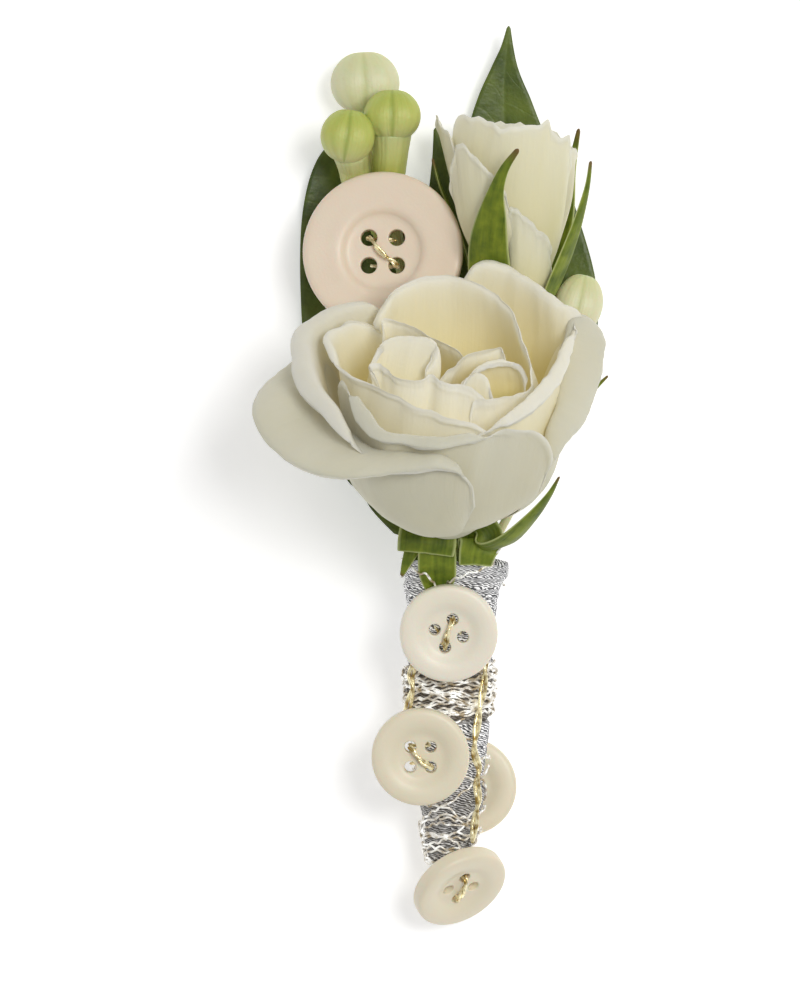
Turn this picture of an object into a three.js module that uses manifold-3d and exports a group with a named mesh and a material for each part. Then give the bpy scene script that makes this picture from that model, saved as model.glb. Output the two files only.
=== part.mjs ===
// A lying boutonniere: an open spray rose, its bud, bouvardia buds and leaves, bound in ribbon
// with bullion wire, a gold cord and five sewn-on buttons.
// Millimetres. X runs across, Y from the stem's end to the flowers' tips, Z up from the table.
import * as THREE from "three";
import { mergeVertices } from "three/addons/utils/BufferGeometryUtils.js";
import Module from "manifold-3d";

const wasm = await Module();
wasm.setup();

// Sizes shared by several pieces.
const GAP = 0.32; // air left between pieces that touch
const PETAL = 0.7; // petal thickness
const SEPAL = 0.65;
const LEAF = 0.8;
const WIRE = 0.32; // radius of the silver bullion strands
const CORD = 0.5; // radius of the gold cord
const THREAD = 0.3; // radius of the gold ties
const STRAND_OFF = 0.78; // from the sleeve to the middle of a strand coiled round it
const SLIVER = 0.03; // facets closer together than this are merged
const PETAL_ROWS = 5; // facets from a petal's foot to its rim
const SHIFT = [-0.3, -0.81, 0]; // brings the middle of the bounding box over the origin

// The rose stands on this point of its hip, its axis leaning 53 degrees from upright toward +Y.
const ROSE_FOOT = [2.2, -5.1, 17.5];
const ROSE_TILT = 53.13;
// The bud lies flatter and leans a little toward -X.
const BUD_FOOT = [11.4, 22.9, 8.4];
const BUD_TILT = 75;
const BUD_LEAN = 4.2;

// A petal: mid and span are its heading and half width in degrees about the axis, belly its
// radius and height there, bulge the swell of its wall; each rim point is across, back, height
// and the width of the lip rolled outward. Rims run the way that headings grow.
const ROSE_PETALS = {
  outerLeftFront: {
    mid: 222,
    span: 56,
    belly: [11, 6.5],
    bulge: 0.8,
    rim: [
      [-19.9, 8.2, 19, 4],
      [-23.5, 3.3, 18.5, 6],
      [-24.6, -2, 18.5, 8],
      [-23, -7, 18, 9],
      [-18.6, -13.4, 18.5, 8],
      [-12.3, -16.8, 19.5, 5],
      [-6.1, -16.9, 20.5, 2.5],
      [-0.9, -16.9, 21, 1.5],
      [2.6, -17.2, 19, 0.5],
      [3.5, -16.9, 16, 0.2],
    ],
  },
  outerRight: {
    mid: 2,
    span: 48,
    belly: [14, 9],
    bulge: 1,
    rim: [
      [13.9, -9.6, 18, 0.5],
      [15.8, -5.6, 18.5, 1],
      [17.8, -1.6, 19, 1.5],
      [19, 3.7, 19.5, 2.5],
      [19.7, 7.7, 20.5, 3],
      [19.5, 10.6, 21.5, 3],
      [17.4, 14.2, 22.5, 2],
    ],
  },
  outerBackRight: {
    mid: 62,
    span: 40,
    belly: [14.5, 10],
    bulge: 1,
    rim: [
      [17.3, 12.2, 23.5, 1.2],
      [14.2, 13.3, 24.6, 1.2],
      [11.1, 16.9, 25.2, 1.2],
      [7.9, 19.3, 25.8, 1.2],
      [5, 19.7, 26.3, 1.2],
      [2.2, 18.8, 25.8, 0.8],
    ],
  },
  outerLeft: {
    mid: 178,
    span: 58,
    belly: [13, 9],
    bulge: 1,
    rim: [
      [-8.5, 15.5, 23.5, 1.2],
      [-13.1, 14.1, 23.5, 1.5],
      [-17.3, 12.2, 23, 2],
      [-19.5, 8.7, 23, 2.4],
      [-19.8, 2.7, 23, 2.4],
      [-18.8, -1.7, 22.5, 2.4],
      [-16.6, -6.6, 22.5, 2.4],
      [-13.6, -11.5, 22.5, 2.2],
      [-9.8, -15.6, 22, 1.5],
    ],
  },
  front: {
    mid: 254,
    span: 60,
    belly: [12.6, 8],
    bulge: 1.2,
    rim: [
      [-13.1, -2.7, 24, 0.6],
      [-12.2, -6.7, 23.5, 1.2],
      [-10.3, -11.8, 23.5, 1.6],
      [-6.7, -14.5, 23.5, 1.6],
      [-3.1, -15.7, 23.5, 1.6],
      [1.1, -15.7, 23.5, 1.5],
      [5, -14.3, 23.5, 1],
      [7.8, -11.3, 23, 0.5],
      [10.7, -10.1, 21.5, 0.3],
      [12.2, -11.7, 19, 0.2],
    ],
  },
  rightMiddle: {
    mid: -31,
    span: 58,
    belly: [12, 11],
    bulge: 1,
    rim: [
      [-0.5, -9.9, 23.5, 0.6],
      [2.6, -11.1, 23.5, 0.8],
      [6.1, -11.8, 23.5, 1],
      [9.1, -9.9, 23.5, 1.2],
      [12.4, -5.7, 24, 1.4],
      [14.7, -0.4, 24, 1.5],
      [15.8, 5, 24, 1.5],
      [16.4, 10, 24, 1.5],
    ],
  },
  back: {
    mid: 62,
    span: 78,
    belly: [11.5, 12],
    bulge: 1,
    rim: [
      [10.5, -3.2, 24, 0.3],
      [10.2, -0.1, 25, 0.3],
      [9.1, 5, 25.5, 0.4],
      [7.9, 9.8, 26, 0.5],
      [5.8, 13.9, 26, 0.5],
      [2.8, 16.1, 26.5, 0.5],
      [-0.4, 17.2, 26.5, 0.5],
      [-3.6, 16.3, 26.5, 0.5],
      [-6.6, 14.6, 26, 0.6],
      [-9.4, 11.3, 25.5, 0.8],
    ],
  },
  leftInner: {
    mid: 172,
    span: 45,
    belly: [10.5, 12],
    bulge: 1,
    rim: [
      [-9.1, 10.8, 24.5, 0.3],
      [-12.6, 9.7, 24.5, 0.6],
      [-15.4, 6.9, 24.5, 0.8],
      [-15, 2.1, 24.5, 0.8],
      [-13.5, -0.6, 24, 0.5],
      [-11.5, -2.5, 24, 0.3],
      [-8.1, -4.2, 24, 0.2],
    ],
  },
  frontInner: {
    mid: 242,
    span: 58,
    belly: [9.5, 12],
    bulge: 1.5,
    rim: [
      [-10.1, -0.5, 25.5, 0.2],
      [-8.6, -2.2, 25.5, 0.2],
      [-6.6, -2.7, 25.5, 0.2],
      [-4.6, -3.1, 25.2, 0.2],
      [-2.5, -2.8, 25, 0.2],
      [-0.5, -4.3, 25, 0.2],
      [1.6, -4.9, 24.5, 0.2],
      [3.9, -5.5, 24, 0.2],
      [6.4, -6.1, 23.5, 0.2],
    ],
  },
  lobe: {
    mid: 215,
    span: 50,
    belly: [7.5, 13],
    bulge: 1.5,
    rim: [
      [-10.2, 0.1, 25.5, 0.2],
      [-9, 1.8, 26, 0.2],
      [-6.4, 3.3, 26, 0.2],
      [-3.1, 3.7, 26, 0.2],
      [-1.8, 2.2, 26, 0.2],
      [-2.3, -0.3, 25.5, 0.2],
    ],
  },
  backInner: {
    mid: 112,
    span: 50,
    belly: [8.5, 13],
    bulge: 0.5,
    rim: [
      [1.8, 1.4, 25.5, 0.2],
      [-1.1, 3.1, 26, 0.2],
      [-3.6, 5.4, 26, 0.2],
      [-6.1, 7.4, 26, 0.3],
      [-8.3, 8, 26, 0.3],
      [-8.4, 6.1, 25.5, 0.3],
    ],
  },
  rightFold: {
    mid: -10,
    span: 48,
    belly: [8, 13],
    bulge: 1,
    rim: [
      [-1.6, -3, 25, 0.2],
      [0.3, -0.1, 25, 0.2],
      [1.9, 2.1, 25, 0.2],
      [4.2, 2.9, 25, 0.2],
      [6.8, 3.8, 25, 0.2],
      [8, 2.6, 24.5, 0.2],
    ],
  },
  rightCurl: {
    mid: -40,
    span: 38,
    belly: [8, 14],
    bulge: 1.5,
    rim: [
      [1.8, -3.4, 24, 0.2],
      [2.4, -1.5, 24.5, 0.2],
      [3.7, 0.4, 24.5, 0.2],
      [5.8, 1.5, 24.5, 0.2],
      [8.3, 1.7, 24.5, 0.2],
      [9.8, 0, 24, 0.2],
    ],
  },
  rightInner: {
    mid: -32,
    span: 32,
    belly: [9.5, 13],
    bulge: 1,
    rim: [
      [3.9, -6.1, 23.5, 0.2],
      [5.4, -5.9, 23.5, 0.2],
      [6.9, -5.4, 23.5, 0.2],
      [8.6, -4.8, 23.5, 0.2],
      [10.1, -4.2, 23.5, 0.2],
      [10.7, -2.5, 24, 0.2],
    ],
  },
};

const BUD_PETALS = {
  front: {
    mid: 262,
    span: 76,
    belly: [5.6, 7],
    bulge: 0.8,
    rim: [
      [-7.3, -2.5, 25.3, 0.3],
      [-5.5, -4.7, 26.2, 0.3],
      [-2.7, -6.6, 25.7, 0.3],
      [-0.5, -7.5, 24.7, 0.3],
      [1.8, -7.5, 24.8, 0.3],
      [4.1, -7, 24.8, 0.3],
      [5.3, -6.5, 24.9, 0.3],
      [5.8, -6, 23.1, 0.3],
      [7.5, -4.4, 22.3, 0.3],
      [7.9, -3, 20.2, 0.3],
    ],
  },
  back: {
    mid: 70,
    span: 82,
    belly: [5.4, 7],
    bulge: 0.6,
    rim: [
      [7.5, -0.8, 20.9, 0.3],
      [8.9, 1.8, 18.8, 0.3],
      [8, 3.8, 19.4, 0.3],
      [6.4, 6.2, 20.6, 0.3],
      [3.1, 7.2, 21.7, 0.3],
      [-0.7, 7.4, 22.2, 0.3],
      [-4.6, 6.6, 22.8, 0.3],
      [-6.9, 4.7, 23.3, 0.3],
    ],
  },
  left: {
    mid: 178,
    span: 36,
    belly: [4.8, 7],
    bulge: 0.6,
    rim: [
      [-8.4, 3.8, 22.8, 0.3],
      [-9, 1.7, 23.9, 0.3],
      [-9, 0, 25.4, 0.3],
      [-8.4, -1.7, 24.2, 0.3],
      [-7.3, -3.4, 23.8, 0.3],
    ],
  },
  frontLeft: {
    mid: 232,
    span: 42,
    belly: [5.6, 7],
    bulge: 0.8,
    rim: [
      [-8, -3, 17.7, 0.3],
      [-7.6, -4.7, 20.4, 0.3],
      [-6.3, -6.4, 23.1, 0.3],
      [-5, -7.6, 21.7, 0.3],
      [-3.4, -8.2, 20, 0.3],
      [-1.9, -8.3, 18.2, 0.3],
      [-0.7, -8, 15.8, 0.3],
    ],
  },
  frontRight: {
    mid: 290,
    span: 30,
    belly: [5.4, 3],
    bulge: 0.5,
    rim: [
      [-0.9, -7.8, 15.2, 0.3],
      [0.8, -7.6, 13.7, 0.3],
      [2.5, -7.1, 11.8, 0.3],
      [3.9, -6.1, 10, 0.3],
      [4.5, -5.1, 8.4, 0.3],
      [3.9, -4.1, 6.4, 0.3],
    ],
  },
  innerLeft: {
    mid: 200,
    span: 70,
    belly: [4.6, 8],
    bulge: 0.5,
    rim: [
      [-3, 4, 22.5, 0.2],
      [-5, 1.5, 23, 0.2],
      [-5, -1.5, 23, 0.2],
      [-3, -4, 22.5, 0.2],
      [0.5, -4.6, 22, 0.2],
    ],
  },
  innerRight: {
    mid: 20,
    span: 70,
    belly: [4.4, 8],
    bulge: 0.5,
    rim: [
      [2, -3.6, 21.5, 0.2],
      [4.4, -1.5, 22, 0.2],
      [4.6, 1.5, 22, 0.2],
      [2.5, 3.8, 22, 0.2],
      [-0.5, 4.2, 21.5, 0.2],
    ],
  },
};

// Profiles turned about the bloom's axis, as radius and height: the solid heart that the petals
// grow from, and the hip below it.
const ROSE_CORE = [
  [0, -1],
  [2.4, -1],
  [6.4, 3],
  [9.4, 8],
  [8.4, 13.5],
  [4, 17],
  [0, 17],
];
const BUD_CORE = [
  [0, -1],
  [2.2, -1],
  [3.6, 3],
  [3.8, 9],
  [2.4, 14],
  [0, 15],
];
const ROSE_HIP = [
  [0, -4.8],
  [1.8, -4.8],
  [2.6, -3.4],
  [2.9, -1.9],
  [2.5, -0.8],
  [2.9, -0.3],
  [0, -0.3],
];
const BUD_HIP = [
  [0, -4.6],
  [1.1, -4.6],
  [1.9, -3.2],
  [2.3, -1.8],
  [1.9, -0.8],
  [2.2, -0.3],
  [0, -0.3],
];

// Blades: each midrib point is x, y, z and the half width there; facing is the way the blade looks.
const ROSE_SEPALS = [
  {
    facing: [0, -0.3, 1],
    fold: 0.1,
    midrib: [
      [2, -7, 17.2, 1.8],
      [0.8, -7.9, 19.8, 3.4],
      [0, -9.4, 19.7, 3.5],
      [0.7, -11.6, 18.9, 2.2],
      [1.2, -13.3, 18.7, 0.6],
    ],
  },
  {
    facing: [0.2, -0.3, 1],
    fold: 0.15,
    midrib: [
      [3, -7, 17, 1.6],
      [5.4, -7.8, 18.9, 2.7],
      [6.6, -8.9, 19, 2.2],
      [6.4, -10.6, 18.3, 0.9],
    ],
  },
  {
    facing: [0.5, -0.65, 0.6],
    fold: -0.3,
    midrib: [
      [3.4, -6.8, 16.4, 1.5],
      [6.4, -8.6, 17.8, 2],
      [9.4, -8, 20.8, 2.1],
      [12.4, -5.2, 24.2, 1.7],
      [14.8, -2, 27.4, 1],
      [16.1, 0.5, 30, 0.3],
    ],
  },
  {
    facing: [0.3, -0.2, -1],
    fold: 0.1,
    midrib: [
      [3.6, -4.6, 14.7, 1.8],
      [9.5, -3.1, 11.5, 2.4],
      [16, 3.3, 10.9, 1.9],
      [20.4, 9.3, 12.9, 1.1],
      [22.6, 13.3, 14.9, 0.3],
    ],
  },
  {
    facing: [-0.5, -0.2, 0.8],
    fold: 0.1,
    midrib: [
      [1, -5.8, 15.7, 1.6],
      [-1.6, -7.8, 16.9, 2],
      [-3, -10.1, 18.3, 1.1],
      [-3.6, -12.2, 18.7, 0.3],
    ],
  },
];

// The bud's sepals, in the bud's own frame.
const BUD_SEPALS = [
  {
    facing: [-0.3, -1, 0],
    fold: -0.12,
    midrib: [
      [-1.2, -1.6, -1.6, 1.4],
      [-2.7, -4.4, 0.6, 2.2],
      [-3.6, -5.7, 3.8, 2.8],
      [-3.7, -6.5, 7, 2.8],
      [-3.5, -8.1, 10.3, 2.5],
      [-2.9, -9.2, 13.7, 1.9],
      [-2.1, -10.2, 17.3, 1],
      [-0.9, -10.9, 20.1, 0.6],
      [1, -11.7, 22.7, 0.3],
    ],
  },
  {
    facing: [0.75, -0.65, 0],
    fold: -0.12,
    midrib: [
      [1.2, -1.2, -1.6, 1.2],
      [3.4, -3.4, 0.6, 1.5],
      [4.8, -4.7, 3.6, 1.6],
      [6.9, -5.8, 8.4, 1.3],
      [8.3, -6, 12, 0.9],
      [9.6, -5.6, 16, 0.5],
      [10.2, -5.2, 19, 0.3],
    ],
  },
  {
    facing: [0.7, 0.7, 0],
    fold: -0.12,
    midrib: [
      [1.1, 1.1, -1.6, 1.2],
      [3.4, 3.4, 0.6, 1.6],
      [5.2, 5.1, 4.4, 2],
      [6.9, 6.6, 10, 1.6],
      [8, 7.2, 15.2, 0.8],
      [9.3, 7.2, 20.6, 0.3],
    ],
  },
  {
    facing: [-1, 0, 0],
    fold: -0.12,
    midrib: [
      [-1.4, 0.2, -1.6, 1.1],
      [-4.4, 1.4, 0.6, 1.5],
      [-6, 2.6, 4.4, 1.6],
      [-7.2, 3.6, 9.6, 1.3],
      [-9, 2.8, 15, 0.9],
      [-9.8, 1.2, 19.4, 0.3],
    ],
  },
  {
    facing: [-0.3, 1, 0],
    fold: -0.1,
    midrib: [
      [-0.4, 1.6, -1.6, 1.2],
      [-0.9, 4.8, 0.6, 1.8],
      [-1.2, 6.6, 4.5, 2.2],
      [-1.5, 8.2, 10, 1.8],
      [-1.5, 8.8, 16, 0.5],
    ],
  },
];

// Leaves: midrib points as above, stalk points as x, y, z and radius.
const LEAVES = {
  leaf_left: {
    fold: 0.16,
    midrib: [
      [-3.5, -7, 7.4, 0.9],
      [-3.8, -3.4, 5.7, 4],
      [-3.8, 0.1, 4.7, 6.6],
      [-5.7, 11.8, 2.4, 9.6],
      [-7.6, 24.7, 0.37, 9.2],
      [-9.3, 36.3, 0.9, 7.2],
      [-10.1, 42, 1.4, 4.6],
      [-10.5, 45.5, 1.4, 0.6],
    ],
    stalk: [
      [-3.6, -5, 6.7, 0.5],
      [-3.3, -7.6, 8, 0.5],
      [-2.2, -9.4, 11.4, 0.5],
      [-1.2, -12, 11.6, 0.5],
      [-0.1, -15, 11, 0.5],
    ],
  },
  leaf_top: {
    fold: 0.12,
    midrib: [
      [8.7, 5.3, 4.4, 0.9],
      [10.2, 8.8, 3.8, 4.6],
      [11.8, 13.5, 3, 7.6],
      [13, 22.1, 1.2, 8.7],
      [12, 33.7, 0.46, 7],
      [9.6, 45.2, 1.8, 4.7],
      [9.6, 51, 2.8, 2.9],
      [10.1, 58.6, 4.4, 0.4],
    ],
    stalk: [
      [9.3, 7, 4.2, 0.5],
      [7.2, -3, 6.2, 0.5],
      [5.6, -11, 8.55, 0.5],
      [4.6, -16, 7.8, 0.5],
    ],
  },
  leaf_mid: {
    fold: 0.12,
    midrib: [
      [4.1, 5.3, 6.4, 0.8],
      [3.6, 13, 5.8, 2.6],
      [2.6, 23.3, 4.5, 3.6],
      [2.6, 33.6, 4.4, 3.2],
      [2.1, 40.7, 4.8, 2],
      [0.9, 45.6, 5.6, 0.5],
    ],
    stalk: [
      [4, 8, 6.3, 0.5],
      [3.7, -2, 7, 0.5],
      [2.9, -11, 7.9, 0.5],
      [2.6, -18, 6.6, 0.5],
    ],
  },
};

// Stations of the ribbon sleeve: y, x, z, half width, half height.
const SLEEVE = [
  [-10.4, 3, 11.8, 6.5, 5.5],
  [-12, 3.1, 10.9, 6.5, 5.1],
  [-15.2, 2.7, 9.6, 5.6, 4.6],
  [-20, 2.5, 8.9, 5.3, 4.5],
  [-26.8, 2.4, 8.2, 5.2, 4.3],
  [-34, 2.5, 7.6, 4.6, 3.9],
  [-40.9, 2.7, 7, 3.9, 3.3],
  [-47.2, 2.4, 6.7, 2.7, 2.4],
  [-50.2, 2.1, 6.6, 1.7, 1.6],
];
const SLEEVE_WALL = 0.9;

// Stems: x, y, z and radius.
const ROSE_STEM = [
  [2.2, -8.2, 15, 1.9],
  [2.1, -10.6, 11.9, 1.7],
  [2.1, -14, 10.2, 1.6],
  [2.2, -20, 9.4, 1.5],
  [1.9, -30, 8.2, 1.4],
  [1.8, -39, 7.2, 1.1],
  [1.8, -44.5, 6.8, 0.8],
];
const BUD_STEM = [
  [11.5, 18.8, 7.2, 1.2],
  [11, 12, 6.8, 1.1],
  [8.3, 2, 8, 1.1],
  [5.6, -9, 10.8, 1.1],
  [5.2, -14, 10.1, 1.1],
  [4.9, -19, 8.7, 1],
  [4.6, -30, 7.1, 0.9],
  [4.4, -38, 6.7, 0.7],
];
const SPRIG_STEM = [
  [-4.9, 34.5, 5.5, 0.9],
  [-3.6, 27, 5.3, 0.8],
  [-2.2, 19, 4.6, 0.8],
  [-0.9, 8, 6.4, 0.8],
  [0, -3, 8.2, 0.8],
  [0.1, -11, 8.9, 0.8],
  [0.15, -16, 8.1, 0.75],
  [0.1, -22, 7.4, 0.7],
  [0, -30, 6.7, 0.6],
];
const CREAM_STEM = [
  [-8.4, 49, 4.4, 1.6],
  [-8.2, 45, 4.6, 1.1],
  [-7.5, 38, 4.3, 0.6],
  [-5.9, 29, 4.1, 0.55],
  [-4.9, 18, 4.4, 0.55],
  [-3.4, 4.5, 6.6, 0.55],
  [-1.8, -6, 9.2, 0.55],
  [-1.3, -11, 10, 0.55],
  [-0.9, -18, 9.6, 0.5],
];
const SIDE_STEM = [
  [18.8, 20.5, 7, 1.6],
  [18.1, 16, 6.6, 0.8],
  [15.4, 6, 6, 0.55],
  [11, -2.5, 7.2, 0.55],
  [7.5, -9.5, 11, 0.55],
  [6.9, -13, 11.5, 0.5],
];

// Bouvardia buds: middle, half sizes across, along and up, and the lean of the axis.
const CREAM_BUD = { at: [-8.4, 51.3, 4.25], size: [4.6, 3.7, 3.8], lean: 2 };
const SIDE_BUD = { at: [19, 22.6, 7.4], size: [3.3, 3.9, 3.1], lean: -14 };
const GREEN_BUDS = [
  {
    at: [-4.9, 46.9, 9.7],
    size: [3.75, 3.3, 3.5],
    lean: 0,
    tube: [
      [-5, 45, 9.2, 2.3],
      [-5.1, 42.4, 8.1, 2],
      [-5.3, 39.7, 6.5, 1.9],
      [-5.2, 36.6, 5.7, 1.4],
      [-4.8, 33.8, 5.4, 0.9],
    ],
  },
  {
    at: [-10.6, 44.2, 12],
    size: [3.55, 3.4, 3.4],
    lean: -8,
    tube: [
      [-10.3, 42.2, 11, 2],
      [-9.8, 40.2, 8.1, 1.4],
      [-9.2, 37.6, 6.9, 1.4],
      [-7.4, 33.4, 6.1, 1],
      [-4.2, 28.5, 5.4, 0.8],
    ],
  },
];

// Buttons: profiles run from the middle of the back round the rim to the middle of the dish.
const SMALL_PROFILE = [
  [0, 0],
  [5.6, 0],
  [6.25, 0.6],
  [6.25, 1.8],
  [5.5, 2.3],
  [3.6, 1.3],
  [0, 1.1],
];
const LARGE_PROFILE = [
  [0, 0],
  [9.5, 0],
  [10.25, 0.6],
  [10.25, 2],
  [9.7, 2.5],
  [5.5, 2.4],
  [4.7, 1.5],
  [0, 1.4],
];
// Holes: how far apart neighbours are, and their radius.
const SMALL_HOLES = [2.6, 0.78];
const LARGE_HOLES = [3.55, 1.1];
// A button: at is the middle of its back, spin turns the holes, tip, roll and turn swing the whole
// button about X, Y and Z, tie names the two holes that the gold thread passes through.
const BUTTONS = {
  button_large: { at: [-6, 29.2, 9.7], spin: 0, tip: -5, roll: -4, turn: 0, tie: [1, 3], large: true },
  button_upper: { at: [2.3, -19.2, 14.85], spin: 30, tip: 8, roll: 0, turn: 0, tie: [0, 2] },
  button_left: { at: [-1.3, -35, 13.3], spin: 0, tip: 7, roll: 0, turn: 0, tie: [1, 3] },
  button_under: { at: [4.9, -39.4, 0], spin: 20, tip: 0, roll: 0, turn: 0, tie: [1, 3] },
  button_end: { at: [3.25, -51.2, 7.2], spin: 6, tip: 52, roll: 0, turn: 33, tie: [0, 2] },
};

// Windings round the sleeve: first and last y, turns, start angle; and the cords as y and angle
// points, the angle counted from +X over the top.
const WIRES = {
  wire_top: [{ from: -11.2, to: -13.4, turns: 1.3, start: 200 }],
  wire_band: [
    { from: -24.2, to: -29.8, turns: 5, start: 0 },
    { from: -24.2, to: -29.6, turns: -0.8, start: 40 },
  ],
  wire_lower: [
    { from: -33, to: -48.6, turns: 3, start: 250 },
    { from: -33.6, to: -48.9, turns: -3, start: 120 },
  ],
};
const CORDS = {
  cord_right: [
    [-23.2, 50],
    [-25.5, 48],
    [-27.2, 54],
    [-29.6, 56],
    [-32, 58],
    [-34.4, 60],
    [-36.3, 52],
    [-38.4, 62],
    [-40.8, 50],
    [-43.8, 56],
    [-46.2, 50],
  ],
  cord_left: [
    [-23.2, 132],
    [-25, 140],
    [-26.4, 134],
    [-28, 142],
    [-29.6, 152],
    [-30.7, 178],
    [-31.1, 220],
    [-30.9, 262],
  ],
};

const CREAM = { color: 0xe4dcc2, roughness: 0.62, metalness: 0 };
const IVORY = { color: 0xe6ddc8, roughness: 0.35, metalness: 0 };
const BLUSH = { color: 0xe2cfb9, roughness: 0.38, metalness: 0 };
const GREEN = { color: 0x5f8230, roughness: 0.55, metalness: 0 };
const DEEP_GREEN = { color: 0x3d5a22, roughness: 0.42, metalness: 0 };
const LIME = { color: 0xb2bf58, roughness: 0.5, metalness: 0 };
const PALE_BUD = { color: 0xd6d6a4, roughness: 0.5, metalness: 0 };
const RIBBON = { color: 0xb9bbc2, roughness: 0.38, metalness: 0.6 };
const SILVER = { color: 0xe6dfd6, roughness: 0.25, metalness: 0.9 };
const GOLD = { color: 0xc2a04a, roughness: 0.28, metalness: 0.95 };

// A closed solid from a geometry; a surface that came out inside out is turned round.
function solidOf(geometry) {
  const bare = geometry.clone();
  bare.deleteAttribute("normal");
  bare.deleteAttribute("uv");
  const merged = mergeVertices(bare, 1e-4);
  const triVerts = new Uint32Array(merged.index.array);
  const vertProperties = merged.attributes.position.array;
  const made = new wasm.Manifold(new wasm.Mesh({ numProp: 3, vertProperties, triVerts }));
  if (made.volume() > 0) return made;
  for (let i = 0; i < triVerts.length; i += 3) {
    [triVerts[i + 1], triVerts[i + 2]] = [triVerts[i + 2], triVerts[i + 1]];
  }
  return new wasm.Manifold(new wasm.Mesh({ numProp: 3, vertProperties, triVerts }));
}

// The one body that a part keeps: slivers are smoothed away, inner hollows are filled and loose
// scrap is dropped.
function oneBody(made) {
  const bodies = made.simplify(SLIVER).decompose().filter((body) => body.volume() > 0);
  bodies.sort((a, b) => b.volume() - a.volume());
  return bodies[0];
}

function meshOf(name, made, look) {
  const source = oneBody(made).getMesh();
  const geometry = new THREE.BufferGeometry();
  const position = new THREE.BufferAttribute(new Float32Array(source.vertProperties), 3);
  geometry.setAttribute("position", position);
  geometry.setIndex(new THREE.BufferAttribute(new Uint32Array(source.triVerts), 1));
  const flat = geometry.toNonIndexed();
  flat.computeVertexNormals();
  const mesh = new THREE.Mesh(flat, new THREE.MeshStandardMaterial(look));
  mesh.name = name;
  return mesh;
}

const vector = (p) => new THREE.Vector3(p[0], p[1], p[2]);

// Points spaced evenly by index on the smooth curve through the given ones.
function along(points, count) {
  const line = new THREE.CatmullRomCurve3(points.map((p) => (p.isVector3 ? p : vector(p))));
  return Array.from({ length: count + 1 }, (_, i) => line.getPoint(i / count));
}

// The value at t of 0 to 1 in an evenly spaced list, straight between its entries.
function valueAt(list, t) {
  const place = t * (list.length - 1);
  const low = Math.min(Math.floor(place), list.length - 2);
  return list[low] + (list[low + 1] - list[low]) * (place - low);
}

// A closed geometry from rings of points: neighbouring rings are joined and both ends capped.
function skin(rings) {
  const count = rings[0].length;
  const points = rings.flat();
  const index = [];
  for (let i = 0; i + 1 < rings.length; i++) {
    for (let j = 0; j < count; j++) {
      const a = i * count + j;
      const b = i * count + ((j + 1) % count);
      index.push(a, b, b + count, a, b + count, a + count);
    }
  }
  for (const [ring, turned] of [
    [0, true],
    [rings.length - 1, false],
  ]) {
    const middle = new THREE.Vector3();
    rings[ring].forEach((p) => middle.addScaledVector(p, 1 / count));
    points.push(middle);
    for (let j = 0; j < count; j++) {
      const a = ring * count + j;
      const b = ring * count + ((j + 1) % count);
      index.push(...(turned ? [b, a, points.length - 1] : [a, b, points.length - 1]));
    }
  }
  const geometry = new THREE.BufferGeometry().setFromPoints(points);
  geometry.setIndex(index);
  return geometry;
}

// A blade of even thickness about a grid of points: front and back faces share their diagonals.
function bladeOf(grid, thickness) {
  const rows = grid.length;
  const columns = grid[0].length;
  const at = (i, j) =>
    grid[Math.min(Math.max(i, 0), rows - 1)][Math.min(Math.max(j, 0), columns - 1)];
  const front = [];
  const back = [];
  for (let i = 0; i < rows; i++) {
    for (let j = 0; j < columns; j++) {
      const down = at(i + 1, j).clone().sub(at(i - 1, j));
      const side = at(i, j + 1).clone().sub(at(i, j - 1));
      const normal = side.cross(down).normalize();
      front.push(grid[i][j].clone().addScaledVector(normal, thickness / 2));
      back.push(grid[i][j].clone().addScaledVector(normal, -thickness / 2));
    }
  }
  const size = rows * columns;
  const index = [];
  for (let i = 0; i + 1 < rows; i++) {
    for (let j = 0; j + 1 < columns; j++) {
      const a = i * columns + j;
      const b = a + 1;
      const c = a + columns;
      const d = c + 1;
      index.push(a, b, d, a, d, c);
      index.push(b + size, a + size, d + size, d + size, a + size, c + size);
    }
  }
  const border = [];
  for (let j = 0; j < columns - 1; j++) border.push(j);
  for (let i = 0; i < rows - 1; i++) border.push(i * columns + columns - 1);
  for (let j = columns - 1; j > 0; j--) border.push((rows - 1) * columns + j);
  for (let i = rows - 1; i > 0; i--) border.push(i * columns);
  border.forEach((a, k) => {
    const b = border[(k + 1) % border.length];
    index.push(b, a, a + size, b, a + size, b + size);
  });
  const geometry = new THREE.BufferGeometry().setFromPoints([...front, ...back]);
  geometry.setIndex(index);
  return solidOf(geometry);
}

// A profile of radius and height turned about Z.
function lathe(profile, sides) {
  const outline = profile.map((p) => new THREE.Vector2(...p));
  return solidOf(new THREE.LatheGeometry(outline, sides).rotateX(Math.PI / 2));
}

const heading = (degrees) => {
  const turn = THREE.MathUtils.degToRad(degrees);
  return new THREE.Vector3(Math.cos(turn), Math.sin(turn), 0);
};

// The grid of one petal: every column runs from the foot out to the belly, up the wall, over
// the crest of the lip and down to the rim.
function petalGrid(petal, columns) {
  const rim = along(petal.rim, columns);
  const lips = petal.rim.map((p) => p[3]);
  return rim.map((edge, i) => {
    const t = i / columns;
    const turn = petal.mid + (2 * t - 1) * petal.span;
    const out = heading(turn);
    const lip = valueAt(lips, t);
    const crest = edge.clone().addScaledVector(out, -lip);
    crest.z += 0.4 * lip;
    const belly = out.clone().multiplyScalar(petal.belly[0]);
    belly.z = petal.belly[1];
    const wall = belly.clone().add(crest).multiplyScalar(0.5).addScaledVector(out, petal.bulge);
    const foot = heading(petal.mid + (turn - petal.mid) * 0.7).multiplyScalar(1.9);
    foot.z = -0.6;
    return along([foot, belly, wall, crest, edge], PETAL_ROWS);
  });
}

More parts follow.
